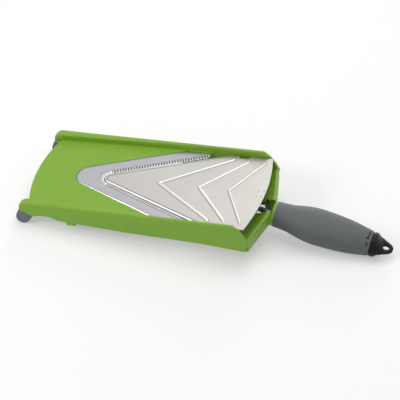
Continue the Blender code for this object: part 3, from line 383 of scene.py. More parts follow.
def tangent_angle(apex_x, radius, corner_x, corner_y):
    """Half angle of a V with a rounded point whose edge passes through a corner."""
    run = corner_x - apex_x - radius
    return math.atan2(corner_y, run) - math.asin(radius / math.hypot(run, corner_y))


def resample(points, step):
    """The same polyline with a point about every step."""
    lengths = [0.0]
    for a, b in zip(points, points[1:]):
        lengths.append(lengths[-1] + (b - a).length)
    count = max(2, round(lengths[-1] / step))
    result = []
    index = 0
    for k in range(count + 1):
        reach = lengths[-1] * k / count
        while index < len(points) - 2 and lengths[index + 1] < reach:
            index += 1
        share = (reach - lengths[index]) / (lengths[index + 1] - lengths[index])
        result.append(points[index].lerp(points[index + 1], share))
    return result


def bowed(start, end, rise, steps):
    """Points on the arc that joins two points and stands rise to the left of their chord."""
    a = Vector(start)
    b = Vector(end)
    chord = (b - a).length
    radius = (chord * chord / 4.0 + rise * rise) / (2.0 * rise)
    along = (b - a).normalized()
    up = Vector((-along.y, along.x))
    centre = (a + b) / 2.0 - up * (radius - rise)
    half = math.asin(chord / 2.0 / radius)
    points = []
    for i in range(steps + 1):
        angle = -half + 2.0 * half * i / steps
        points.append(centre + along * (radius * math.sin(angle)) + up * (radius * math.cos(angle)))
    return points


# ---------------- measures, in millimetres

THROAT_GAP = 0.6
BLADE_THICK = 1.2
RIM_CHAMFER = 0.32
EDGE_END_X = 40.6
EDGE_APEX_X = -62.3
EDGE_ROUND = 8.1
BLADE_WING_END = (14.5, 56.5)
BLADE_CORNER = (42.0, 56.5)
EDGE_CORNER = (42.0, 50.6)
RAMP_CORNER = (63.2, 57.8)
SHEET = 1.2


def rounded_vee(apex_x, radius, corner):
    """Apex, radius and half angle of a rounded V whose line passes through a corner."""
    return apex_x, radius, tangent_angle(apex_x, radius, *corner)


BLADE_EDGE = rounded_vee(EDGE_APEX_X, EDGE_ROUND, EDGE_CORNER)
BLADE_RIM = rounded_vee(-93.6, 15.2, BLADE_WING_END)
RAMP_RIM = rounded_vee(EDGE_APEX_X + THROAT_GAP, EDGE_ROUND - THROAT_GAP, RAMP_CORNER)

STUDS_X = (-42.0, 4.0)
STUD_INSET = 5.0
STUD_RADIUS = 1.5
STUD_END = -6.2
# centres of the four weld marks
WELDS = ((109.6, 5.5), (116.4, 5.4), (110.0, -3.3), (116.0, -4.3))
# apex along, end along and end across of each rib
RIBS = ((0.0, 71.6, 51.1), (45.2, 88.4, 50.3), (78.8, 106.4, 50.9))
RIB_HALF_WIDTH = 2.1
RIB_NOSE = 3.4
# where the notch over a side guide starts and ends, and how far out it leaves the sheet
NOTCH = (74.5, 85.5, 54.2)
REAR_CORNER = (111.3, 58.3)
REAR_BOW = 7.4
TAB_OUTLINE = ((75.5, -0.4), (84.5, -0.4), (84.5, -13.0), (82.5, -15.0), (77.5, -15.0),
               (75.5, -13.0))
TAB_SIDES = (53.0, 54.18)

# each printed bar's reach along and across the grip
INDEX_BARS = (((101.4, 103.5), (-7.6, 3.7)), ((99.8, 101.8), (-7.6, -5.3)),
              ((101.4, 103.5), (-13.0, -9.9)))
GRIP_BORE = 4.2
TANG_BORE = 9.4
TANG_END = 98.9
KNOB_FRONT = 106.9
# centre, direction, radius and two ends: hanging hole, recess, shaft bore, pin bore
KNOB_HOLES = (
    ((122.5, 0.0, 0.0), (0.0, 0.0, 1.0), 4.25, -12.0, 12.0),
    ((0.0, 0.0, 0.0), (1.0, 0.0, 0.0), 6.3, 100.0, 108.0),
    ((0.0, 0.0, 0.0), (1.0, 0.0, 0.0), 3.3, 100.0, 115.0),
    ((111.8, 0.0, 0.0), (0.0, 0.0, 1.0), 1.3, -16.0, 3.6),
)

SHAFT_RADIUS = 3.0
SHAFT_ENDS = (-31.0, 114.7)
THREAD_END = -12.0
THREAD_LEAD = 7.3336
THREAD_DEPTH = 0.6


# ---------------- finishes

def moulding_finish(colours, sizes):
    """Glossy moulded plastic with a fine spark-eroded grain and worn running surfaces, with painted
    shade in the recesses, along the blade pocket and inside the opening.
    """
    finish = Finish("green_moulding", colours.green, 0.36, specular=0.30)
    x, y, z = finish.deck_place()
    place = finish.vector(x, y, z)
    cloud = finish.noise(place, 0.035, 2.0)
    grain = finish.noise(place, 2.6, 3.0, 0.6)
    streaks = finish.noise(finish.vector(x * 0.05, y * 1.9, z * 0.4), 1.0, 3.0, 0.65)
    scratch = streaks.step(0.60, 0.70) * z.step(-0.8, -0.2) * 0.6
    rail = z.step(6.2, 6.9) * streaks.step(0.45, 0.75)
    # groove: painted shade on the recessed walls and floors inside the rails, about 0.15 to 2.4 mm
    # below the bed
    groove = z.step(-0.15, -0.7) * z.step(-2.4, -1.9) * abs(y).step(58.6, 58.2) * 0.55
    # lip: painted shadow line on the green just outside the blade's outer edge, where the pocket
    # wall stands in shade
    pocket = finish.vee(x, y, BLADE_RIM)[1]
    lip = pocket.step(-0.1, 0.1) * pocket.step(0.95, 0.55) * z.step(-2.0, -1.0) * x.step(18.0, 14.0)
    # painted shade on the surfaces deep inside the opening over the drive
    opening_shade = x.step(100.0, 106.0) * x.step(121.0, 119.0) * abs(y).step(11.5, 10.0)
    # the three masks above darken the colour together as painted shade
    shaded = groove.most(lip * 0.50).most(opening_shade * z.step(-1.5, -3.0) * 0.72)
    level = (cloud * 0.10 + grain * 0.05 + 0.925 + scratch * 0.05) * (1.0 - shaded)
    body = finish.shade(finish.colour, level)
    worn = finish.blend((scratch * 0.30 + rail * 0.22).least(0.5), body, tint(colours.green, 1.32))
    finish.set("Base Color", worn)
    finish.set("Roughness", cloud * 0.10 + grain * 0.10 + scratch * 0.16 + rail * 0.06 + 0.27)
    finish.set("Coat Weight", 0.06)
    finish.set("Coat Roughness", 0.30)
    finish.relief(grain * 0.8 + scratch * 0.25, 0.022, sizes.edge_round)
    return finish.material


def ramp_finish(colours, sizes):
    """Satin stainless sheet: grained along the slide, scuffed, with four spot-weld marks, painted
    highlights on the rolled rim and rib crests, and painted shade at the rib feet and along the
    rim's bend.
    """
    finish = Finish("ramp_steel", colours.ramp, 0.36, 1.0)
    x, y, z = finish.deck_place()
    lines = finish.noise(finish.vector(x * 0.035, y * 5.5, z * 2.0), 1.0, 4.0, 0.7)
    fine = finish.noise(finish.vector(x * 0.12, y * 16.0, z * 6.0), 1.0, 2.0, 0.6)
    cloud = finish.noise(finish.vector(x, y, z), 0.03, 2.0)
    scuff = finish.noise(finish.vector(x * 0.09, y * 2.4 + x * 0.12, z), 1.0, 2.0, 0.5)
    scuff = scuff.step(0.66, 0.74)
    square = None
    for weld_x, weld_y in WELDS:
        from_weld = (x - weld_x) * (x - weld_x) + (y - weld_y) * (y - weld_y)
        square = from_weld if square is None else square.least(from_weld)
    ring_radius = sizes.weld_radius / MM
    distance = square.root()
    top = z.step(-0.9, -0.3)
    spot = distance.step(ring_radius, ring_radius * 0.55) * top
    halo = distance.step(ring_radius * 2.1, ring_radius) * top
    level = lines * 0.14 + fine * 0.10 + cloud * 0.10 + 0.83 + scuff * 0.05
    body = finish.shade(finish.colour, level)
    # foot: painted shade along the foot of each rib, where the rib meets the sheet
    foot = z.step(0.012, 0.05) * z.step(0.36, 0.16)
    inside = -1.0 * finish.vee(x, y, RAMP_RIM)[1]
    # painted highlight on the rolled rim and on the rib crests, blended toward near-white
    crest_highlight = inside.step(0.4, 0.7) * inside.step(1.7, 1.3) + z.step(0.75, 1.15) * 0.5
    # painted shade line on the sheet along the inner side of the rolled rim's bend
    rim_bend_shade = inside.step(2.1, 2.5) * inside.step(3.5, 3.1) * z.step(-0.3, -0.1)
    highlighted_steel = finish.blend(crest_highlight.least(1.0) * 0.62, body, (0.93, 0.92, 0.89, 1.0))
    # the rib feet and the rim's bend are darkened together as painted shade
    dark = (foot * 0.72 + rim_bend_shade * 0.50).least(0.8)
    creased = finish.blend(dark, highlighted_steel, tint(colours.ramp, 0.22))
    warm = finish.blend(halo * 0.35, creased, (0.52, 0.43, 0.33, 1.0))
    finish.set("Base Color", finish.blend(spot * 0.55, warm, (0.27, 0.23, 0.19, 1.0)))
    finish.set("Roughness", lines * 0.16 + fine * 0.10 + scuff * 0.10 + halo * 0.10 + 0.22)
    finish.set("Anisotropic", 0.25)
    finish.relief(lines * 0.55 + fine * 0.45 - spot * 3.5, 0.006, sizes.metal_edge)
    return finish.material


def blade_finish(colours, sizes):
    """Hard blade steel: cross-ground flats and a brighter ground band at the teeth, with painted
    highlights along the cutting edge and outer rim, and painted shade in the flute slots, along the
    band's shoulder and inside the rim.
    """
    finish = Finish("blade_steel", colours.blade, 0.24, 1.0)
    x, y, z = finish.deck_place()
    along, reach = finish.vee(x, y, BLADE_EDGE)
    across = abs(y) * math.cos(BLADE_EDGE[2]) - x * math.sin(BLADE_EDGE[2])
    band = sizes.bevel_width / MM
    pitch = sizes.tooth_pitch / MM
    top = z.step(-1.15, -1.0)
    hone = finish.noise(finish.vector(along * 6.5, across * 0.25, z), 1.0, 3.0, 0.6)
    flat = finish.noise(finish.vector(along * 0.06, across * 7.5, z), 1.0, 3.0, 0.6)
    cloud = finish.noise(finish.vector(x, y, z), 0.05, 2.0)
    ground = reach.step(band + 0.1, band - 0.1) * top
    # shoulder: painted shade line along the crease where the ground band meets the flat
    shoulder = reach.step(band + 0.45, band + 0.15) * reach.step(band - 0.45, band - 0.15) * top
    # painted dark reflection in the flute slots of the ground band; the same mask also roughens
    # them
    flute = (along * (2.0 * math.pi / pitch)).cosine().step(0.10, -0.20) * along.step(0.8, 1.8)
    painted_flute_slot = flute * reach.step(0.5, 0.9) * reach.step(band - 0.3, band - 0.6) * top
    level = flat * 0.16 + cloud * 0.08 + 0.86
    body = finish.shade(finish.colour, level)
    honed = finish.shade(tint(colours.blade, 1.32), hone * 0.14 + 0.90)
    steel = finish.blend(ground, body, honed)
    rim = -1.0 * finish.vee(x, y, BLADE_RIM)[1]
    # edge and bright: painted highlight along the cutting edge and along the outer rim's chamfer,
    # blended toward near-white
    edge = reach.step(0.85, 0.60) * top
    bright = (edge + rim.step(0.60, 0.45) * z.step(-0.9, -0.6)).least(1.0)
    steel = finish.blend(bright * 0.8, steel, (0.93, 0.93, 0.94, 1.0))
    # painted shade line on the blade's top just inside the bright outer rim
    rim_shade_line = rim.step(0.60, 0.80) * rim.step(1.50, 1.15) * top
    # the flute slots, the band's shoulder and the line inside the rim are darkened together as
    # painted shade
    dark = (painted_flute_slot * 0.85 + shoulder * 0.66 + rim_shade_line * 0.50).least(0.9)
    finish.set("Base Color", finish.blend(dark, steel, tint(colours.blade, 0.10)))
    finish.set("Roughness", flat * 0.14 + hone * 0.10 + 0.17 - ground * 0.05 + painted_flute_slot * 0.15)
    finish.relief(flat * 0.5 + hone * ground, 0.005, sizes.metal_edge)
    return finish.material


def grip_finish(colours):
    """Soft-touch grip: a pebbled skin, lighter on top as a painted highlight and smoother there
    from wear, with black index bars.
    """
    finish = Finish("soft_grip", colours.grip, 0.62, specular=0.28)
    s, y, up = finish.handle_place()
    place = finish.vector(s, y, up)
    pebble = finish.cells(place, 1.9)
    skin = finish.noise(place, 3.8, 3.0, 0.6)
    cloud = finish.noise(place, 0.06, 2.0)
    # top of the grip: colour lightened as a painted highlight, roughness lowered for wear
    top_highlight_and_wear = (up + cloud * 8.0).step(6.0, 17.0)
    level = cloud * 0.14 + skin * 0.10 + 0.86 + top_highlight_and_wear * 0.14
    body = finish.shade(finish.colour, level)
    ink = None
    for along, side in INDEX_BARS:
        bar = s.between(*along, 0.3) * y.between(*side, 0.4)
        ink = bar if ink is None else ink.most(bar)
    ink = ink * up.step(2.0, 4.0) * skin.step(0.22, 0.34)
    finish.set("Base Color", finish.blend(ink, body, (*colours.print_black, 1.0)))
    finish.set("Roughness", skin * 0.14 + 0.55 - top_highlight_and_wear * 0.10 - ink * 0.12)
    finish.relief(pebble * 0.6 + skin * 0.6, 0.030)
    return finish.material


def knob_finish(colours, sizes):
    """Black moulded knob with a fine grain and handling shine."""
    finish = Finish("black_moulding", colours.knob, 0.34, specular=0.16)
    s, y, up = finish.handle_place()
    place = finish.vector(s, y, up)
    grain = finish.noise(place, 3.0, 3.0, 0.6)
    cloud = finish.noise(place, 0.11, 2.0)
    finish.set("Base Color", finish.shade(finish.colour, grain * 0.35 + cloud * 0.40 + 0.62))
    finish.set("Roughness", grain * 0.16 + cloud * 0.14 + 0.24)
    finish.relief(grain, 0.020, sizes.edge_round)
    return finish.material


def rubber_finish(name, colour, sizes):
    """Matt rubber with a powdery grain."""
    finish = Finish(name, colour, 0.72, specular=0.25)
    x, y, z = finish.deck_place()
    place = finish.vector(x, y, z)
    grain = finish.noise(place, 3.2, 4.0, 0.65)
    cloud = finish.noise(place, 0.18, 2.0)
    finish.set("Base Color", finish.shade(finish.colour, grain * 0.14 + cloud * 0.22 + 0.82))
    finish.set("Roughness", grain * 0.16 + 0.62)
    finish.relief(grain, 0.035, sizes.edge_round)
    return finish.material


def acetal_finish(name, colour, sizes):
    """Machined acetal with faint turning marks."""
    finish = Finish(name, colour, 0.42, specular=0.35)
    s, y, up = finish.handle_place()
    marks = finish.noise(finish.vector(s * 5.0, y * 0.6, up * 0.6), 1.0, 2.0)
    cloud = finish.noise(finish.vector(s, y, up), 0.3, 2.0)
    finish.set("Base Color", finish.shade(finish.colour, marks * 0.12 + cloud * 0.16 + 0.86))
    finish.set("Roughness", marks * 0.18 + 0.32)
    finish.relief(marks, 0.012, sizes.metal_edge)
    return finish.material


def turned_finish(name, colour, sizes, roughness):
    """Turned or stamped small steel parts, with a light tarnish."""
    finish = Finish(name, colour, roughness, 1.0)
    s, y, up = finish.handle_place()
    marks = finish.noise(finish.vector(s * 7.0, y * 1.2, up * 1.2), 1.0, 3.0)
    tarnish = finish.noise(finish.vector(s, y, up), 0.35, 3.0).step(0.45, 0.75)
    body = finish.shade(finish.colour, marks * 0.22 + 0.88)
    finish.set("Base Color", finish.blend(tarnish * 0.35, body, tint(colour, 0.55)))
    finish.set("Roughness", marks * 0.14 + tarnish * 0.14 + roughness - 0.10)
    finish.relief(marks, 0.010, sizes.metal_edge)
    return finish.material


# ---------------- mesh work

def skin(mesh, sections, closed=True, caps=True):
    """Joins sections of equal length with quads; closed sections are rings."""
    rows = [[mesh.verts.new(point) for point in section] for section in sections]
    count = len(rows[0])
    for near, far in zip(rows, rows[1:]):
        for i in range(count if closed else count - 1):
            j = (i + 1) % count
            mesh.faces.new((near[i], near[j], far[j], far[i]))
    if caps:
        mesh.faces.new(list(reversed(rows[0])))
        mesh.faces.new(rows[-1])
    return rows


def circle(segments):
    """Points evenly round a circle of radius 1."""
    angles = [2.0 * math.pi * i / segments for i in range(segments)]
    return [(math.cos(angle), math.sin(angle)) for angle in angles]


def revolve(mesh, profile, segments):
    """A closed body of revolution about the first axis from a closed (along, radius) profile."""
    rows = []
    for c, d in circle(segments):
        rows.append([mesh.verts.new((s, r * c, r * d)) for s, r in profile])
    count = len(profile)
    for i, near in enumerate(rows):
        far = rows[(i + 1) % segments]
        for j in range(count):
            k = (j + 1) % count
            mesh.faces.new((near[j], near[k], far[k], far[j]))


def prism(mesh, outline, low, high):
    """A flat plate from an outline in the first two axes."""
    bottom = [mesh.verts.new((point[0], point[1], low)) for point in outline]
    top = [mesh.verts.new((point[0], point[1], high)) for point in outline]
    count = len(outline)
    for i in range(count):
        j = (i + 1) % count
        mesh.faces.new((bottom[i], bottom[j], top[j], top[i]))
    mesh.faces.new(list(reversed(bottom)))
    mesh.faces.new(top)
    return bottom + top


def rod(mesh, centre, direction, radius, low, high, chamfer, segments=24):
    """A pin with chamfered ends along a direction."""
    turn = direction.to_track_quat("Z", "Y").to_matrix()
    rings = ((low, radius - chamfer), (low + chamfer, radius),
             (high - chamfer, radius), (high, radius - chamfer))
    sections = []
    for height, r in rings:
        ring = [Vector((r * c, r * d, height)) for c, d in circle(segments)]
        sections.append([centre + turn @ point for point in ring])
    skin(mesh, sections)


def mesh_data(name, mesh):
    """A finished mesh with its faces turned outward."""
    bmesh.ops.recalc_face_normals(mesh, faces=mesh.faces)
    data = bpy.data.meshes.new(name)
    mesh.to_mesh(data)
    mesh.free()
    return data


def placed(name, data):
    """A new object in the scene."""
    item = bpy.data.objects.new(name, data)
    bpy.context.scene.collection.objects.link(item)
    return item


def piece(name, mesh, matrix, body, material, nodes, smooth_angle=35.0):
    """Makes a shown piece from a mesh, rides it on its body and stands it in for CAD nodes."""
    data = mesh_data(name, mesh)
    if matrix is not None:
        data.transform(matrix)
    data.shade_smooth()
    data.set_sharp_from_angle(angle=math.radians(smooth_angle))
    data.materials.append(material)
    item = placed(name, data)
    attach(item, body)
    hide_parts(*nodes)
    return item


def evened(item):
    """Evens the shading of a piece's flat faces."""
    even = item.modifiers.new("even", "WEIGHTED_NORMAL")
    even.keep_sharp = True
    return item


def bevelled(item, width, angle=38.0):
    """Rounds a piece's sharp edges and evens its shading."""
    bevel = item.modifiers.new("edges", "BEVEL")
    bevel.width = width
    bevel.segments = 2
    bevel.limit_method = "ANGLE"
    bevel.angle_limit = math.radians(angle)
    bevel.harden_normals = True
    return evened(item)


def cleaned(node):
    """A copy of a CAD node's mesh with its facets joined up."""
    mesh = bmesh.new()
    mesh.from_mesh(frame["nodes"][node].data)
    bmesh.ops.remove_doubles(mesh, verts=mesh.verts, dist=2e-6)
    bmesh.ops.dissolve_limit(
        mesh, angle_limit=math.radians(0.6), verts=mesh.verts, edges=mesh.edges)
    return mesh


def finer_copy(name, node, body, material, width):
    """A CAD node's form as a finished piece with rounded edges."""
    bevelled(piece(name, cleaned(node), None, body, material, [node]), width)


def dress(node, material):
    """Gives a CAD node its finish."""
    data = frame["nodes"][node].data
    data.materials.clear()
    data.materials.append(material)


# ---------------- pieces

def full_run(half):
    """Both arms of a V from its upper half, as one run from the -Y end to the +Y end."""
    return [Vector((point.x, -point.y)) for point in reversed(half[1:])] + list(half)


def run_normals(points):
    """Unit normals that point away from the inside of a V's run, one for each point."""
    normals = []
    for k in range(len(points)):
        along = (points[min(len(points) - 1, k + 1)] - points[max(0, k - 1)]).normalized()
        normals.append(Vector((-along.y, along.x)))
    return normals


def blade_rows(pitch, depth, band):
    """Sections through the fluted band, from the ground line to the edge and under it."""
    apex_x, radius, angle = BLADE_EDGE
    samples = resample(full_run(vee_half(*BLADE_EDGE, EDGE_END_X, 12)), pitch / 10.0)
    rows = []
    for point, out in zip(samples, run_normals(samples)):
        run = (point.x - apex_x - radius) * math.cos(angle) + abs(point.y) * math.sin(angle)
        start = min(1.0, max(0.0, (run - 0.6) / 1.4))
        wave = start * min(1.0, max(0.0, 0.5 - 1.3 * math.cos(2.0 * math.pi * run / pitch)))
        row = []
        for v in (0.0, 0.06, 0.14, 0.3, 0.5, 0.7, 0.86, 1.0):
            back = band * (1.0 - v) + depth * wave * v ** 1.5
            land = 0.26 * v + 0.69 * max(0.0, (v - 0.86) / 0.14)
            flute = 0.60 + 0.35 * v if v > 0.05 else 0.0
            place = point + out * back
            row.append(Vector((place.x, place.y, -(land * (1.0 - wave) + flute * wave))))
        row.append(Vector((row[-1].x, row[-1].y, -BLADE_THICK)))
        rows.append(row)
    return rows


def blade_mesh(sizes):
    """The V blade: flat stock with a ground, fluted and toothed inner edge, on four studs."""
    mesh = bmesh.new()
    rows = blade_rows(sizes.tooth_pitch / MM, sizes.tooth_depth / MM, sizes.bevel_width / MM)
    half = vee_half(*BLADE_RIM, BLADE_WING_END[0], 14)
    outer = full_run(half + [Vector(BLADE_CORNER)])
    grid = [[mesh.verts.new(point) for point in row] for row in rows]
    for near, far in zip(grid, grid[1:]):
        for i in range(len(near) - 1):
            mesh.faces.new((near[i], near[i + 1], far[i + 1], far[i]))
    inset = [point - out * RIM_CHAMFER for point, out in zip(outer, run_normals(outer))]
    top = [mesh.verts.new((point.x, point.y, 0.0)) for point in inset]
    rim = [mesh.verts.new((point.x, point.y, -RIM_CHAMFER)) for point in outer]
    low = [mesh.verts.new((point.x, point.y, -BLADE_THICK)) for point in outer]
    for upper, lower in ((top, rim), (rim, low)):
        for i in range(len(outer) - 1):
            mesh.faces.new((upper[i], upper[i + 1], lower[i + 1], lower[i]))
    ground = [row[0] for row in grid]
    under = [row[-1] for row in grid]
    mesh.faces.new(top + list(reversed(ground)))
    mesh.faces.new(low + list(reversed(under)))
    for k in (0, -1):
        mesh.faces.new([top[k], rim[k], low[k]] + list(reversed(grid[k])))
    bmesh.ops.triangulate(mesh, faces=[face for face in mesh.faces if len(face.verts) > 4])
    apex_x, radius, angle = BLADE_RIM
    point_x = apex_x + radius - radius / math.sin(angle)
    up = Vector((0.0, 0.0, 1.0))
    for x in STUDS_X:
        reach = (x - point_x) * math.tan(angle) - STUD_INSET / math.cos(angle)
        for side in (reach, -reach):
            rod(mesh, Vector((x, side, 0.0)), up, STUD_RADIUS, STUD_END, -1.0, 0.25)
    return mesh


def rim_half(inset, end_x):
    """Half of the ramp's V, inset from its rim."""
    apex_x, radius, angle = RAMP_RIM
    return vee_half(apex_x + inset, radius - inset, angle, end_x, 14)


def rim_rows():
    """Sections of the ramp's rolled edge, from the lip under it up and over onto the plate."""
    curve = [(0.25, -3.0), (0.0, -2.7), (0.0, -1.9), (0.12, -1.25), (0.42, -0.72), (0.86, -0.32),
             (1.4, -0.09), (2.0, 0.0), (2.7, 0.0), (2.7, -0.6), (1.3, -1.0), (1.0, -2.0),
             (0.95, -3.0)]
    loops = []
    for inset, height in curve:
        run = full_run(rim_half(inset, 60.0))
        loops.append([Vector((point.x, point.y, height)) for point in run])
    return [list(section) for section in zip(*loops)]


def bell(u):
    """A rounded hump, 1 at 0 and 0 at -1 and 1."""
    return 0.5 + 0.5 * math.cos(math.pi * abs(u) ** 1.25)


def rib_rows(apex_x, end_x, end_y, height):
    """Sections of one pressed V rib, bell-shaped across, with rounded ends."""
    angle = math.atan2(end_y, end_x - apex_x)
    along = Vector((math.cos(angle), math.sin(angle)))
    across = Vector((-along.y, along.x))
    tip = Vector((end_x, end_y))
    length = (tip - Vector((apex_x, 0.0))).length
    places = []
    for share in (0.0, 0.03, 0.1, 0.22, 0.38, 0.58, 0.8, 1.0):
        places.append((share * RIB_NOSE, math.sqrt(max(0.0, 1.0 - (1.0 - share) ** 2))))
    for k in range(1, 13):
        places.append((RIB_NOSE + (length - RIB_NOSE - 1.6) * k / 12.0, 1.0))
    profile = [-1.0 + i / 8.0 for i in range(17)]
    half = []
    for back, scale in places:
        centre = tip - along * back
        row = []
        for u in profile:
            width = max(scale, 0.02) * RIB_HALF_WIDTH
            lift = height * scale ** 0.8 * bell(u) - 0.03
            place = centre + across * (u * width)
            row.append(Vector((place.x, place.y, lift)))
        half.append(row)
    middle = []
    for u in profile:
        shift = u * RIB_HALF_WIDTH / math.sin(angle)
        middle.append(Vector((apex_x - shift, 0.0, height * bell(u) - 0.03)))
    other = [[Vector((point.x, -point.y, point.z)) for point in row] for row in reversed(half)]
    return half + [middle] + other


def ramp_mesh(sizes):
    """The ramp: flat sheet with a rolled V edge, three ribs, guide notches and bent tabs."""
    mesh = bmesh.new()
    inset = 1.2
    corner_x, corner_y = RAMP_CORNER
    notch_start, notch_end, notch_y = NOTCH
    half = rim_half(inset, corner_x)
    half[-1] = Vector((corner_x + inset / math.sin(RAMP_RIM[2]), corner_y))
    half += [Vector((notch_start, corner_y)), Vector((notch_start, notch_y)),
             Vector((notch_end, notch_y)), Vector((notch_end, corner_y)), Vector(REAR_CORNER)]
    rear = bowed(REAR_CORNER, (REAR_CORNER[0], -REAR_CORNER[1]), REAR_BOW, 40)
    other = [Vector((point.x, -point.y)) for point in reversed(half[1:-1])]
    prism(mesh, half + rear[1:] + other, -SHEET, 0.0)
    skin(mesh, rim_rows())
    for rib in RIBS:
        skin(mesh, rib_rows(*rib, sizes.rib_height / MM), closed=False, caps=False)
    for sign in (1.0, -1.0):
        for vert in prism(mesh, TAB_OUTLINE, sign * TAB_SIDES[0], sign * TAB_SIDES[1]):
            vert.co = vert.co.xzy
    return mesh


GRIP_SHAPE = ((0.3, 12.9), (0.55, 13.5), (1.4, 13.85), (15.9, 14.9), (23.9, 16.6), (33.9, 18.6),
              (44.0, 19.6), (54.1, 19.6), (65.0, 19.1), (76.0, 18.3), (86.0, 17.1), (95.9, 15.4),
              (103.6, 13.95), (105.6, 13.3), (106.4, 12.3))


def grip_mesh():
    """The swollen round grip, hollow for the tang and the shaft."""
    outer = [(point.x, point.y) for point in smooth_curve(GRIP_SHAPE, 8)]
    start, end = outer[0][0], outer[-1][0]
    profile = outer + [(end, GRIP_BORE), (TANG_END, GRIP_BORE)]
    profile += [(TANG_END, TANG_BORE), (start, TANG_BORE)]
    mesh = bmesh.new()
    revolve(mesh, profile, 96)
    return mesh


KNOB_SHAPE = ((0.0, 12.3, 12.3), (0.25, 12.9, 12.9), (0.9, 13.2, 13.2), (4.0, 13.2, 13.2),
              (4.9, 13.1, 12.3), (6.1, 12.9, 10.2), (7.7, 12.6, 8.1), (9.3, 12.2, 6.1),
              (10.9, 11.7, 4.3), (12.5, 11.1, 2.9), (14.3, 10.3, 2.1), (17.1, 8.9, 1.9),
              (19.5, 7.5, 1.9), (21.5, 5.7, 1.85), (22.9, 3.6, 1.6), (23.6, 1.6, 1.1))


def knob_mesh():
    """The end knob: a disc that falls away into a flat lug."""
    mesh = bmesh.new()
    sections = []
    for s, wide, tall in smooth_curve(KNOB_SHAPE, 4):
        power = 1.0 if tall > 6.0 else 0.72 + 0.28 * max(0.0, (tall - 4.5) / 1.5)
        loop = []
        for c, d in circle(72):
            loop.append(Vector((KNOB_FRONT + s, wide * math.copysign(abs(c) ** power, c),
                                tall * math.copysign(abs(d) ** power, d))))
        sections.append(loop)
    skin(mesh, sections)
    return mesh


def carve(item, tools, matrix):
    """Cuts rods out of a piece. Each rod is its centre, direction, radius and two ends."""
    for centre, direction, radius, low, high in tools:
        mesh = bmesh.new()
        rod(mesh, Vector(centre), Vector(direction), radius, low, high, 0.01, 48)
        data = mesh_data("cutter", mesh)
        data.transform(matrix)
        cutter = placed("cutter", data)
        cut = item.modifiers.new("cut", "BOOLEAN")
        cut.operation = "DIFFERENCE"
        cut.solver = "EXACT"
        cut.object = cutter
        bpy.context.view_layer.update()
        graph = bpy.context.evaluated_depsgraph_get()
        item.data = bpy.data.meshes.new_from_object(item.evaluated_get(graph))
        item.modifiers.clear()
        bpy.data.objects.remove(cutter)


def thread_mesh():
    """The control shaft: a coarse two-start thread in front, plain with two grooves behind."""
    mesh = bmesh.new()
    low, end = SHAFT_ENDS
    high = THREAD_END
    segments = 32
    places = [low + (high - low) * k / 90.0 for k in range(91)]
    places += [-11.8, -2.9, -2.7, -2.695, -1.305, -1.3, -1.1, 60.0, 101.9, 102.1, 103.9, 104.1,
               114.1, end]
    deep = (-2.7, -2.695, -1.305, -1.3, 102.1, 103.9, end)
    sections = []
    for s in places:
        fade = max(0.0, min(1.0, (s - low) / 1.5, (high - s) / 1.5))
        loop = []
        for i in range(segments):
            angle = 2.0 * math.pi * i / segments
            phase = 2.0 * (angle - 2.0 * math.pi * s / THREAD_LEAD)
            groove = THREAD_DEPTH * fade * min(1.0, max(0.0, 0.5 + 1.1 * math.cos(phase)))
            nose = 0.7 * max(0.0, 1.0 - (s - low) / 0.9)
            r = SHAFT_RADIUS - groove - nose - (THREAD_DEPTH if s in deep else 0.0)
            loop.append(Vector((s, r * math.cos(angle), r * math.sin(angle))))
        sections.append(loop)
    skin(mesh, sections)
    return mesh


# ---------------- operators

class SlicerPiece:
    """What every operator that makes a piece shares."""

    bl_options = {"REGISTER", "UNDO"}

    def groups(self, context):
        """The sizes and the colours."""
        return context.scene.slicer_sizes, context.scene.slicer_colours


class SLICER_OT_tray(SlicerPiece, bpy.types.Operator):
    """Make the moulded tray with its rails, legs, cross member and neck"""

    bl_idname = "slicer.tray"
    bl_label = "Tray and rails"

    def execute(self, context):
        sizes, colours = self.groups(context)
        green = moulding_finish(colours, sizes)
        evened(piece("tray", cleaned("frame"), None, "frame_body", green,
                     ["frame"], 32.0))
        return {"FINISHED"}


class SLICER_OT_feet(SlicerPiece, bpy.types.Operator):
    """Make the two rubber feet"""

    bl_idname = "slicer.feet"
    bl_label = "Rubber feet"

    def execute(self, context):
        sizes, colours = self.groups(context)
        rubber = rubber_finish("foot_rubber", colours.foot, sizes)
        for side in ("left", "right"):
            finer_copy(f"foot_{side}", f"front_foot_{side}", "frame_body", rubber,
                       0.0004)
        return {"FINISHED"}


class SLICER_OT_blade(SlicerPiece, bpy.types.Operator):
    """Make the toothed V blade and the push nuts that hold it"""

    bl_idname = "slicer.blade"
    bl_label = "V blade"

    def execute(self, context):
        sizes, colours = self.groups(context)
        piece("toothed_blade", blade_mesh(sizes), DECK, "frame_body",
              blade_finish(colours, sizes), ["v_blade"], 30.0)
        steel = turned_finish("nut_steel", colours.fitting, sizes, 0.36)
        for number in range(1, 5):
            dress(f"blade_push_nut_{number}", steel)
        return {"FINISHED"}


class SLICER_OT_ramp(SlicerPiece, bpy.types.Operator):
    """Make the ribbed steel ramp, with the bracket and the tongue under it"""

    bl_idname = "slicer.ramp"
    bl_label = "Ramp"

    def execute(self, context):
        sizes, colours = self.groups(context)
        piece("ribbed_ramp", ramp_mesh(sizes), DECK, "ramp_body",
              ramp_finish(colours, sizes), ["ramp_plate"], 40.0)
        dull = turned_finish("bracket_steel", tint(colours.fitting, 0.14)[:3], sizes, 0.42)
        for node in ("drive_bracket", "front_tongue"):
            finer_copy(f"{node}_formed", node, "ramp_body", dull, 0.00015)
        return {"FINISHED"}


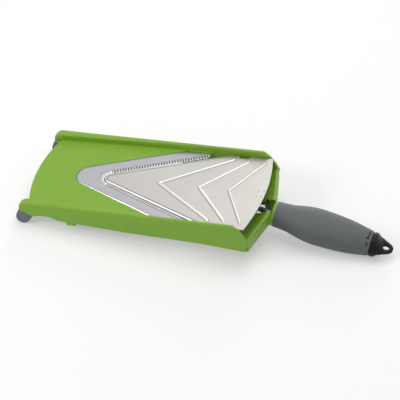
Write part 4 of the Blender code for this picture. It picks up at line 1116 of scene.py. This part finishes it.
class SLICER_OT_guides(SlicerPiece, bpy.types.Operator):
    """Make the ramp's side guides, their rivets and the front pin"""

    bl_idname = "slicer.guides"
    bl_label = "Ramp guides"

    def execute(self, context):
        sizes, colours = self.groups(context)
        grey = acetal_finish("guide_acetal", colours.guide, sizes)
        steel = turned_finish("rivet_steel", colours.fitting, sizes, 0.30)
        for side in ("left", "right"):
            finer_copy(f"guide_{side}", f"guide_slider_{side}", "ramp_body", grey,
                       0.0003)
            finer_copy(f"rivet_{side}", f"slider_rivet_{side}", "ramp_body", steel,
                       0.00015)
        finer_copy("guide_pin", "front_guide_pin", "ramp_body", steel, 0.0002)
        return {"FINISHED"}


class SLICER_OT_grip(SlicerPiece, bpy.types.Operator):
    """Make the soft grip"""

    bl_idname = "slicer.grip"
    bl_label = "Grip"

    def execute(self, context):
        colours = self.groups(context)[1]
        piece("soft_grip", grip_mesh(), HANDLE, "frame_body", grip_finish(colours),
              ["grip"], 50.0)
        return {"FINISHED"}


class SLICER_OT_knob(SlicerPiece, bpy.types.Operator):
    """Make the end knob with its hanging hole, and the pin under it"""

    bl_idname = "slicer.knob"
    bl_label = "End knob"

    def execute(self, context):
        sizes, colours = self.groups(context)
        item = piece("end_knob", knob_mesh(), HANDLE, "knob_body", knob_finish(colours, sizes),
                     ["knob"], 45.0)
        carve(item, KNOB_HOLES, HANDLE)
        item.data.set_sharp_from_angle(angle=math.radians(45.0))
        bevelled(item, 0.00025, 50.0)
        dress("knob_pin", turned_finish("pin_steel", colours.fitting, sizes, 0.34))
        return {"FINISHED"}


class SLICER_OT_drive(SlicerPiece, bpy.types.Operator):
    """Make the control shaft, its bushes, clip, ring and washer, and the drive nut"""

    bl_idname = "slicer.drive"
    bl_label = "Drive"

    def execute(self, context):
        sizes, colours = self.groups(context)
        oxide = turned_finish("oxide_steel", (0.080, 0.080, 0.085), sizes, 0.40)
        piece("threaded_shaft", thread_mesh(), HANDLE, "knob_body", oxide,
              ["control_shaft"], 40.0)
        black = acetal_finish("black_acetal", (0.014, 0.014, 0.015), sizes)
        finer_copy("threaded_nut", "drive_nut", "nut_body", black, 0.0003)
        for node in ("front_shaft_bush", "rear_shaft_bush", "thrust_washer"):
            dress(node, black)
        dress("retaining_clip", turned_finish("clip_steel", colours.fitting, sizes, 0.32))
        dress("shaft_o_ring", rubber_finish("seal_rubber", (0.012, 0.012, 0.012), sizes))
        return {"FINISHED"}


class SLICER_OT_stage(bpy.types.Operator):
    """Make the floor, the lights, the surroundings and the camera"""

    bl_idname = "slicer.stage"
    bl_label = "Studio"
    bl_options = {"REGISTER", "UNDO"}

    def execute(self, context):
        studio = context.scene.slicer_studio
        self.floor(studio)
        self.softbox("key_light", (-1.45, -1.05, 1.35), 0.8, studio.key_power)
        self.softbox("top_light", (0.15, 0.25, 1.7), 1.5, studio.top_power)
        self.softbox("rear_light", (-0.2, 1.9, 0.75), 0.9, studio.rear_power)
        self.surroundings(context, studio)
        self.camera(context, studio)
        context.scene.view_settings.view_transform = "Standard"
        return {"FINISHED"}

    def floor(self, studio):
        """A pale sheet that runs off to all sides and takes the shadow."""
        mesh = bmesh.new()
        rings = []
        for radius in (0.35, 1.2, 4.0, 9.0):
            rings.append([(radius * c, radius * s, -0.0004) for c, s in circle(48)])
        rows = skin(mesh, rings, caps=False)
        mesh.faces.new(rows[0])
        finish = Finish("pale_floor", studio.floor_colour, 0.9, specular=0.1)
        cloud = finish.noise(finish.place, 9.0, 2.0)
        finish.set("Base Color", finish.shade(finish.colour, cloud * 0.01 + 0.995))
        finish.show_white(Wire(finish, finish.shader.outputs["BSDF"]), "ShaderNodeEmission",
                          studio.floor_glow, "Material Output")
        data = mesh_data("floor", mesh)
        data.materials.append(finish.material)
        placed("floor", data)

    def softbox(self, name, place, size, power):
        """A square soft light that faces the slicer."""
        data = bpy.data.lights.new(name, "AREA")
        data.shape = "SQUARE"
        data.size = size
        data.energy = power
        item = placed(name, data)
        item.location = place
        item.visible_camera = False
        aim = Vector((0.0, 0.0, 0.03)) - Vector(place)
        item.rotation_euler = aim.to_track_quat("-Z", "Y").to_euler()

    def surroundings(self, context, studio):
        """Even light from all round, seen as plain white."""
        world = bpy.data.worlds.new("studio")
        context.scene.world = world
        world.use_nodes = True
        nodes = NodeTree(world.node_tree)
        fill = world.node_tree.nodes["Background"]
        nodes.feed(fill.inputs["Color"], WHITE)
        nodes.feed(fill.inputs["Strength"], studio.fill_level)
        nodes.show_white(Wire(nodes, fill.outputs[0]), "ShaderNodeBackground", 1.0, "World Output")

    def camera(self, context, studio):
        """A long lens from the front right, looking down on the slicer."""
        data = bpy.data.cameras.new("camera")
        data.lens = studio.lens
        data.sensor_width = 36.0
        data.clip_end = 50.0
        item = placed("camera", data)
        item.location = (0.5633, -1.8930, 1.8370)
        forward = Vector((-0.2147, 0.7058, -0.6751))
        item.rotation_euler = forward.to_track_quat("-Z", "Y").to_euler()
        context.scene.camera = item


class SLICER_PT_panel(bpy.types.Panel):
    """Lists the slicer's sizes, colours and makers"""

    bl_idname = "SLICER_PT_panel"
    bl_label = "Mandoline Slicer"
    bl_space_type = "VIEW_3D"
    bl_region_type = "UI"
    bl_category = "Slicer"

    def draw(self, context):
        layout = self.layout
        for name in GROUPS:
            group = getattr(context.scene, name)
            box = layout.box()
            for key in group.bl_rna.properties.keys():
                if key not in ("rna_type", "name"):
                    box.prop(group, key)
        for operator in OPERATORS:
            layout.operator(operator.bl_idname)


GROUPS = {
    "slicer_sizes": SlicerSizes, "slicer_colours": SlicerColours, "slicer_studio": SlicerStudio}
OPERATORS = (SLICER_OT_tray, SLICER_OT_feet, SLICER_OT_blade, SLICER_OT_ramp, SLICER_OT_guides,
             SLICER_OT_grip, SLICER_OT_knob, SLICER_OT_drive, SLICER_OT_stage)
CLASSES = (*GROUPS.values(), *OPERATORS, SLICER_PT_panel)


def register():
    """Registers the classes and puts the sizes, colours and studio on the scene."""
    for item in CLASSES:
        bpy.utils.register_class(item)
    for name, group in GROUPS.items():
        setattr(bpy.types.Scene, name, PointerProperty(type=group))


def unregister():
    """Takes back what register did."""
    for name in GROUPS:
        delattr(bpy.types.Scene, name)
    for item in reversed(CLASSES):
        bpy.utils.unregister_class(item)


def main():
    """Makes every piece and the studio."""
    register()
    for operator in OPERATORS:
        getattr(bpy.ops.slicer, operator.bl_idname.split(".")[1])()


if __name__ == "__main__":
    main()
